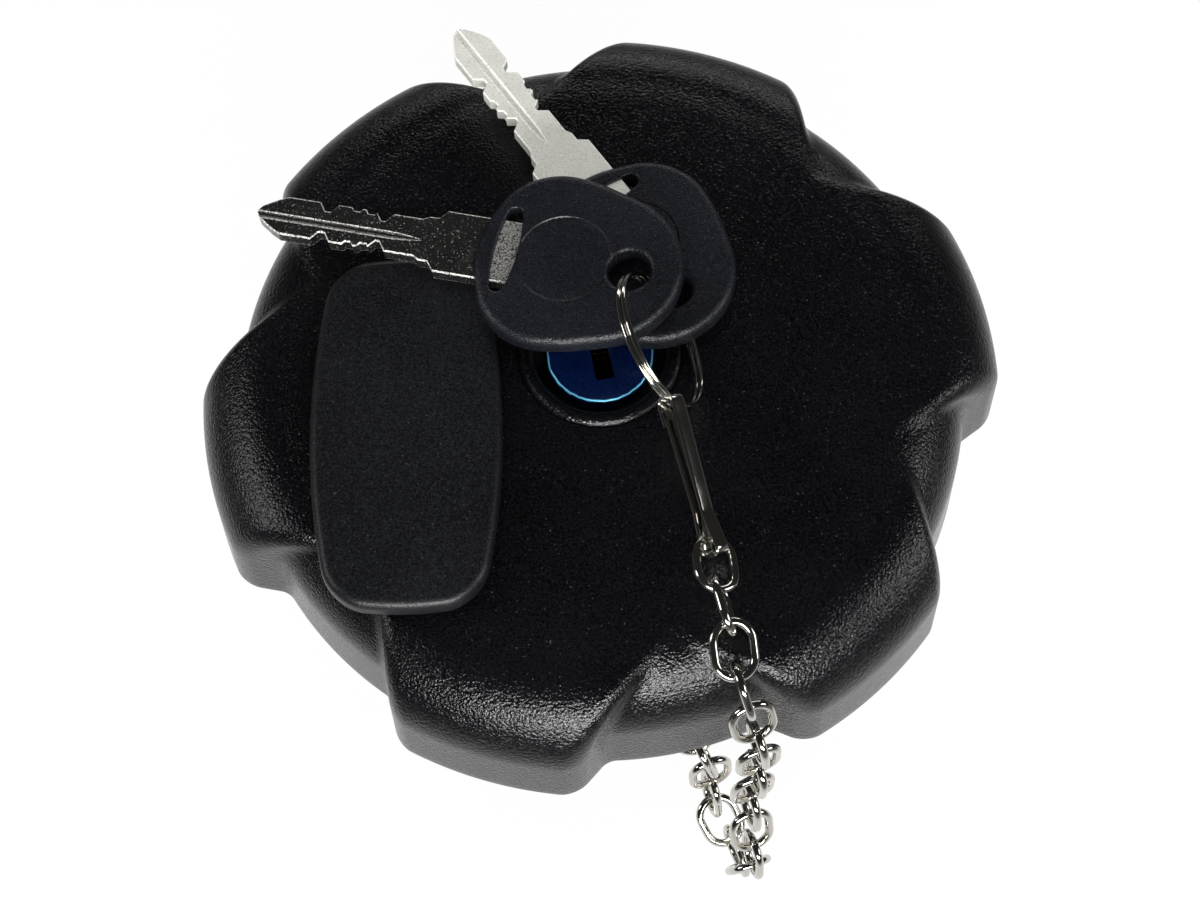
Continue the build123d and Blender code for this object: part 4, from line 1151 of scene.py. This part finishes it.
def floor_finish(tint):
    """Matt paper floor: plain white to the camera but for the shadow left in.  In a mirror it is
    bright near the origin and falls off smoothly to dark further out."""
    made = bpy.data.materials.new("matt paper floor")
    made.use_nodes = True
    tree = made.node_tree
    tree.nodes.clear()
    path = node(tree, "ShaderNodeLightPath").outputs
    place = {0: object_place(tree)}
    away = node(tree, "ShaderNodeVectorMath", place, operation="LENGTH").outputs["Value"]
    near = ramp(tree, away, 0.07, 0.20, 0.85, 0.03, "SMOOTHSTEP")
    camera = straight(tree, path)
    seen = maths(tree, "MAXIMUM", camera, path["Is Glossy Ray"])
    glow = maths(tree, "MAXIMUM", camera, near)
    paper = node(tree, "ShaderNodeBsdfDiffuse", {"Color": tint}).outputs[0]
    bright = node(tree, "ShaderNodeEmission", {"Color": (1, 1, 1, 1), "Strength": glow}).outputs[0]
    surface = mixed(tree, maths(tree, "MULTIPLY", seen, 0.93), paper, bright)
    node(tree, "ShaderNodeOutputMaterial", {"Surface": surface})
    return made


def lamp(name, at, aim, width, depth, power, gloss=True):
    """Soft rectangular lamp that faces a point."""
    light = bpy.data.lights.new(name, "AREA")
    light.shape = "RECTANGLE"
    light.size, light.size_y, light.energy = width, depth, power
    made = bpy.data.objects.new(name, light)
    back = unit(np.array(at, float) - aim)
    right = unit(np.cross((0, 0, 1), back))
    made.matrix_world = facing(at, right, np.cross(back, right), back)
    made.visible_glossy = gloss
    bpy.context.scene.collection.objects.link(made)


def facing(at, right, up, back):
    """World matrix of a lamp or camera from its place and three axes."""
    table = np.eye(4)
    table[:3, 0], table[:3, 1], table[:3, 2], table[:3, 3] = right, up, back, at
    return Matrix(table.tolist())


CAMERA_AIM = np.array([-0.341, -4.462, 45.0]) * MM
CAMERA_AWAY = 412.17 * MM
ELEVATION, ROLL = np.radians(66.047), np.radians(-1.375)
LENS, SENSOR = 83.264, 36.0  # mm


class FILLERCAP_OT_stage(bpy.types.Operator):
    """Pale floor, soft lamps, surround and camera"""

    bl_idname = "filler_cap.stage"
    bl_label = "Stage"

    def execute(self, context):
        side = np.linspace(-3, 3, 7)
        x, y = np.meshgrid(side, side)
        floor = solid("floor", [cells(np.stack([x, y, 0 * x], axis=-1))], 30)
        floor.data.materials.append(floor_finish(sizes("colours").floor))
        sky()
        middle = np.array([0, 0, 55]) * MM
        lamp("front soft box", (0.08, -0.80, 0.42), middle, 0.85, 0.15, 11.0)
        lamp("left soft box", (-0.85, 0.0, 0.50), middle, 0.3, 0.4, 1.8)
        lamp("right soft box", (0.80, -0.15, 0.38), middle, 0.3, 0.25, 1.5)
        lamp("back strip", (0.1, 0.90, 0.30), middle, 0.9, 0.10, 1.2)
        lamp("overhead fill", (0.0, 0.1, 1.1), middle, 0.9, 0.9, 4.0, False)
        right = np.array([1.0, 0, 0])
        up = np.array([0, np.sin(ELEVATION), np.cos(ELEVATION)])
        back = np.array([0, -np.cos(ELEVATION), np.sin(ELEVATION)])
        camera = bpy.data.objects.new("camera", bpy.data.cameras.new("camera"))
        camera.data.lens, camera.data.sensor_width = LENS, SENSOR
        camera.data.clip_start = 0.01
        camera.matrix_world = facing(
            CAMERA_AIM + back * CAMERA_AWAY,
            right * np.cos(ROLL) + up * np.sin(ROLL),
            up * np.cos(ROLL) - right * np.sin(ROLL),
            back,
        )
        context.scene.collection.objects.link(camera)
        context.scene.camera = camera
        context.scene.view_settings.view_transform = "Standard"
        return {"FINISHED"}


class FILLERCAP_PT_panel(bpy.types.Panel):
    bl_label = "Filler Cap"
    bl_idname = "FILLERCAP_PT_panel"
    bl_space_type = "VIEW_3D"
    bl_region_type = "UI"
    bl_category = "Filler Cap"

    def draw(self, context):
        for step in STEPS:
            self.layout.operator(step.bl_idname)
        for group in GROUPS:
            box = self.layout.box()
            values = sizes(group)
            for key in values.__annotations__:
                box.prop(values, key)


GROUPS = {
    "grip": GripSizes,
    "flap": FlapSizes,
    "keys": KeySizes,
    "ring": RingSizes,
    "colours": Colours,
}
STEPS = (
    FILLERCAP_OT_stage,
    FILLERCAP_OT_grip,
    FILLERCAP_OT_flap,
    FILLERCAP_OT_lock,
    FILLERCAP_OT_keys,
    FILLERCAP_OT_ring,
    FILLERCAP_OT_clip,
    FILLERCAP_OT_chain,
    FILLERCAP_OT_seal,
    FILLERCAP_OT_inner,
)
CLASSES = (*GROUPS.values(), *STEPS, FILLERCAP_PT_panel)


def register():
    for made in CLASSES:
        bpy.utils.register_class(made)
    for group, made in GROUPS.items():
        setattr(bpy.types.Scene, "filler_cap_" + group, PointerProperty(type=made))


def unregister():
    for group in GROUPS:
        delattr(bpy.types.Scene, "filler_cap_" + group)
    for made in reversed(CLASSES):
        bpy.utils.unregister_class(made)


def main():
    """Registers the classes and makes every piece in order."""
    register()
    for step in STEPS:
        group, name = step.bl_idname.split(".")
        getattr(getattr(bpy.ops, group), name)()


if __name__ == "__main__":
    main()
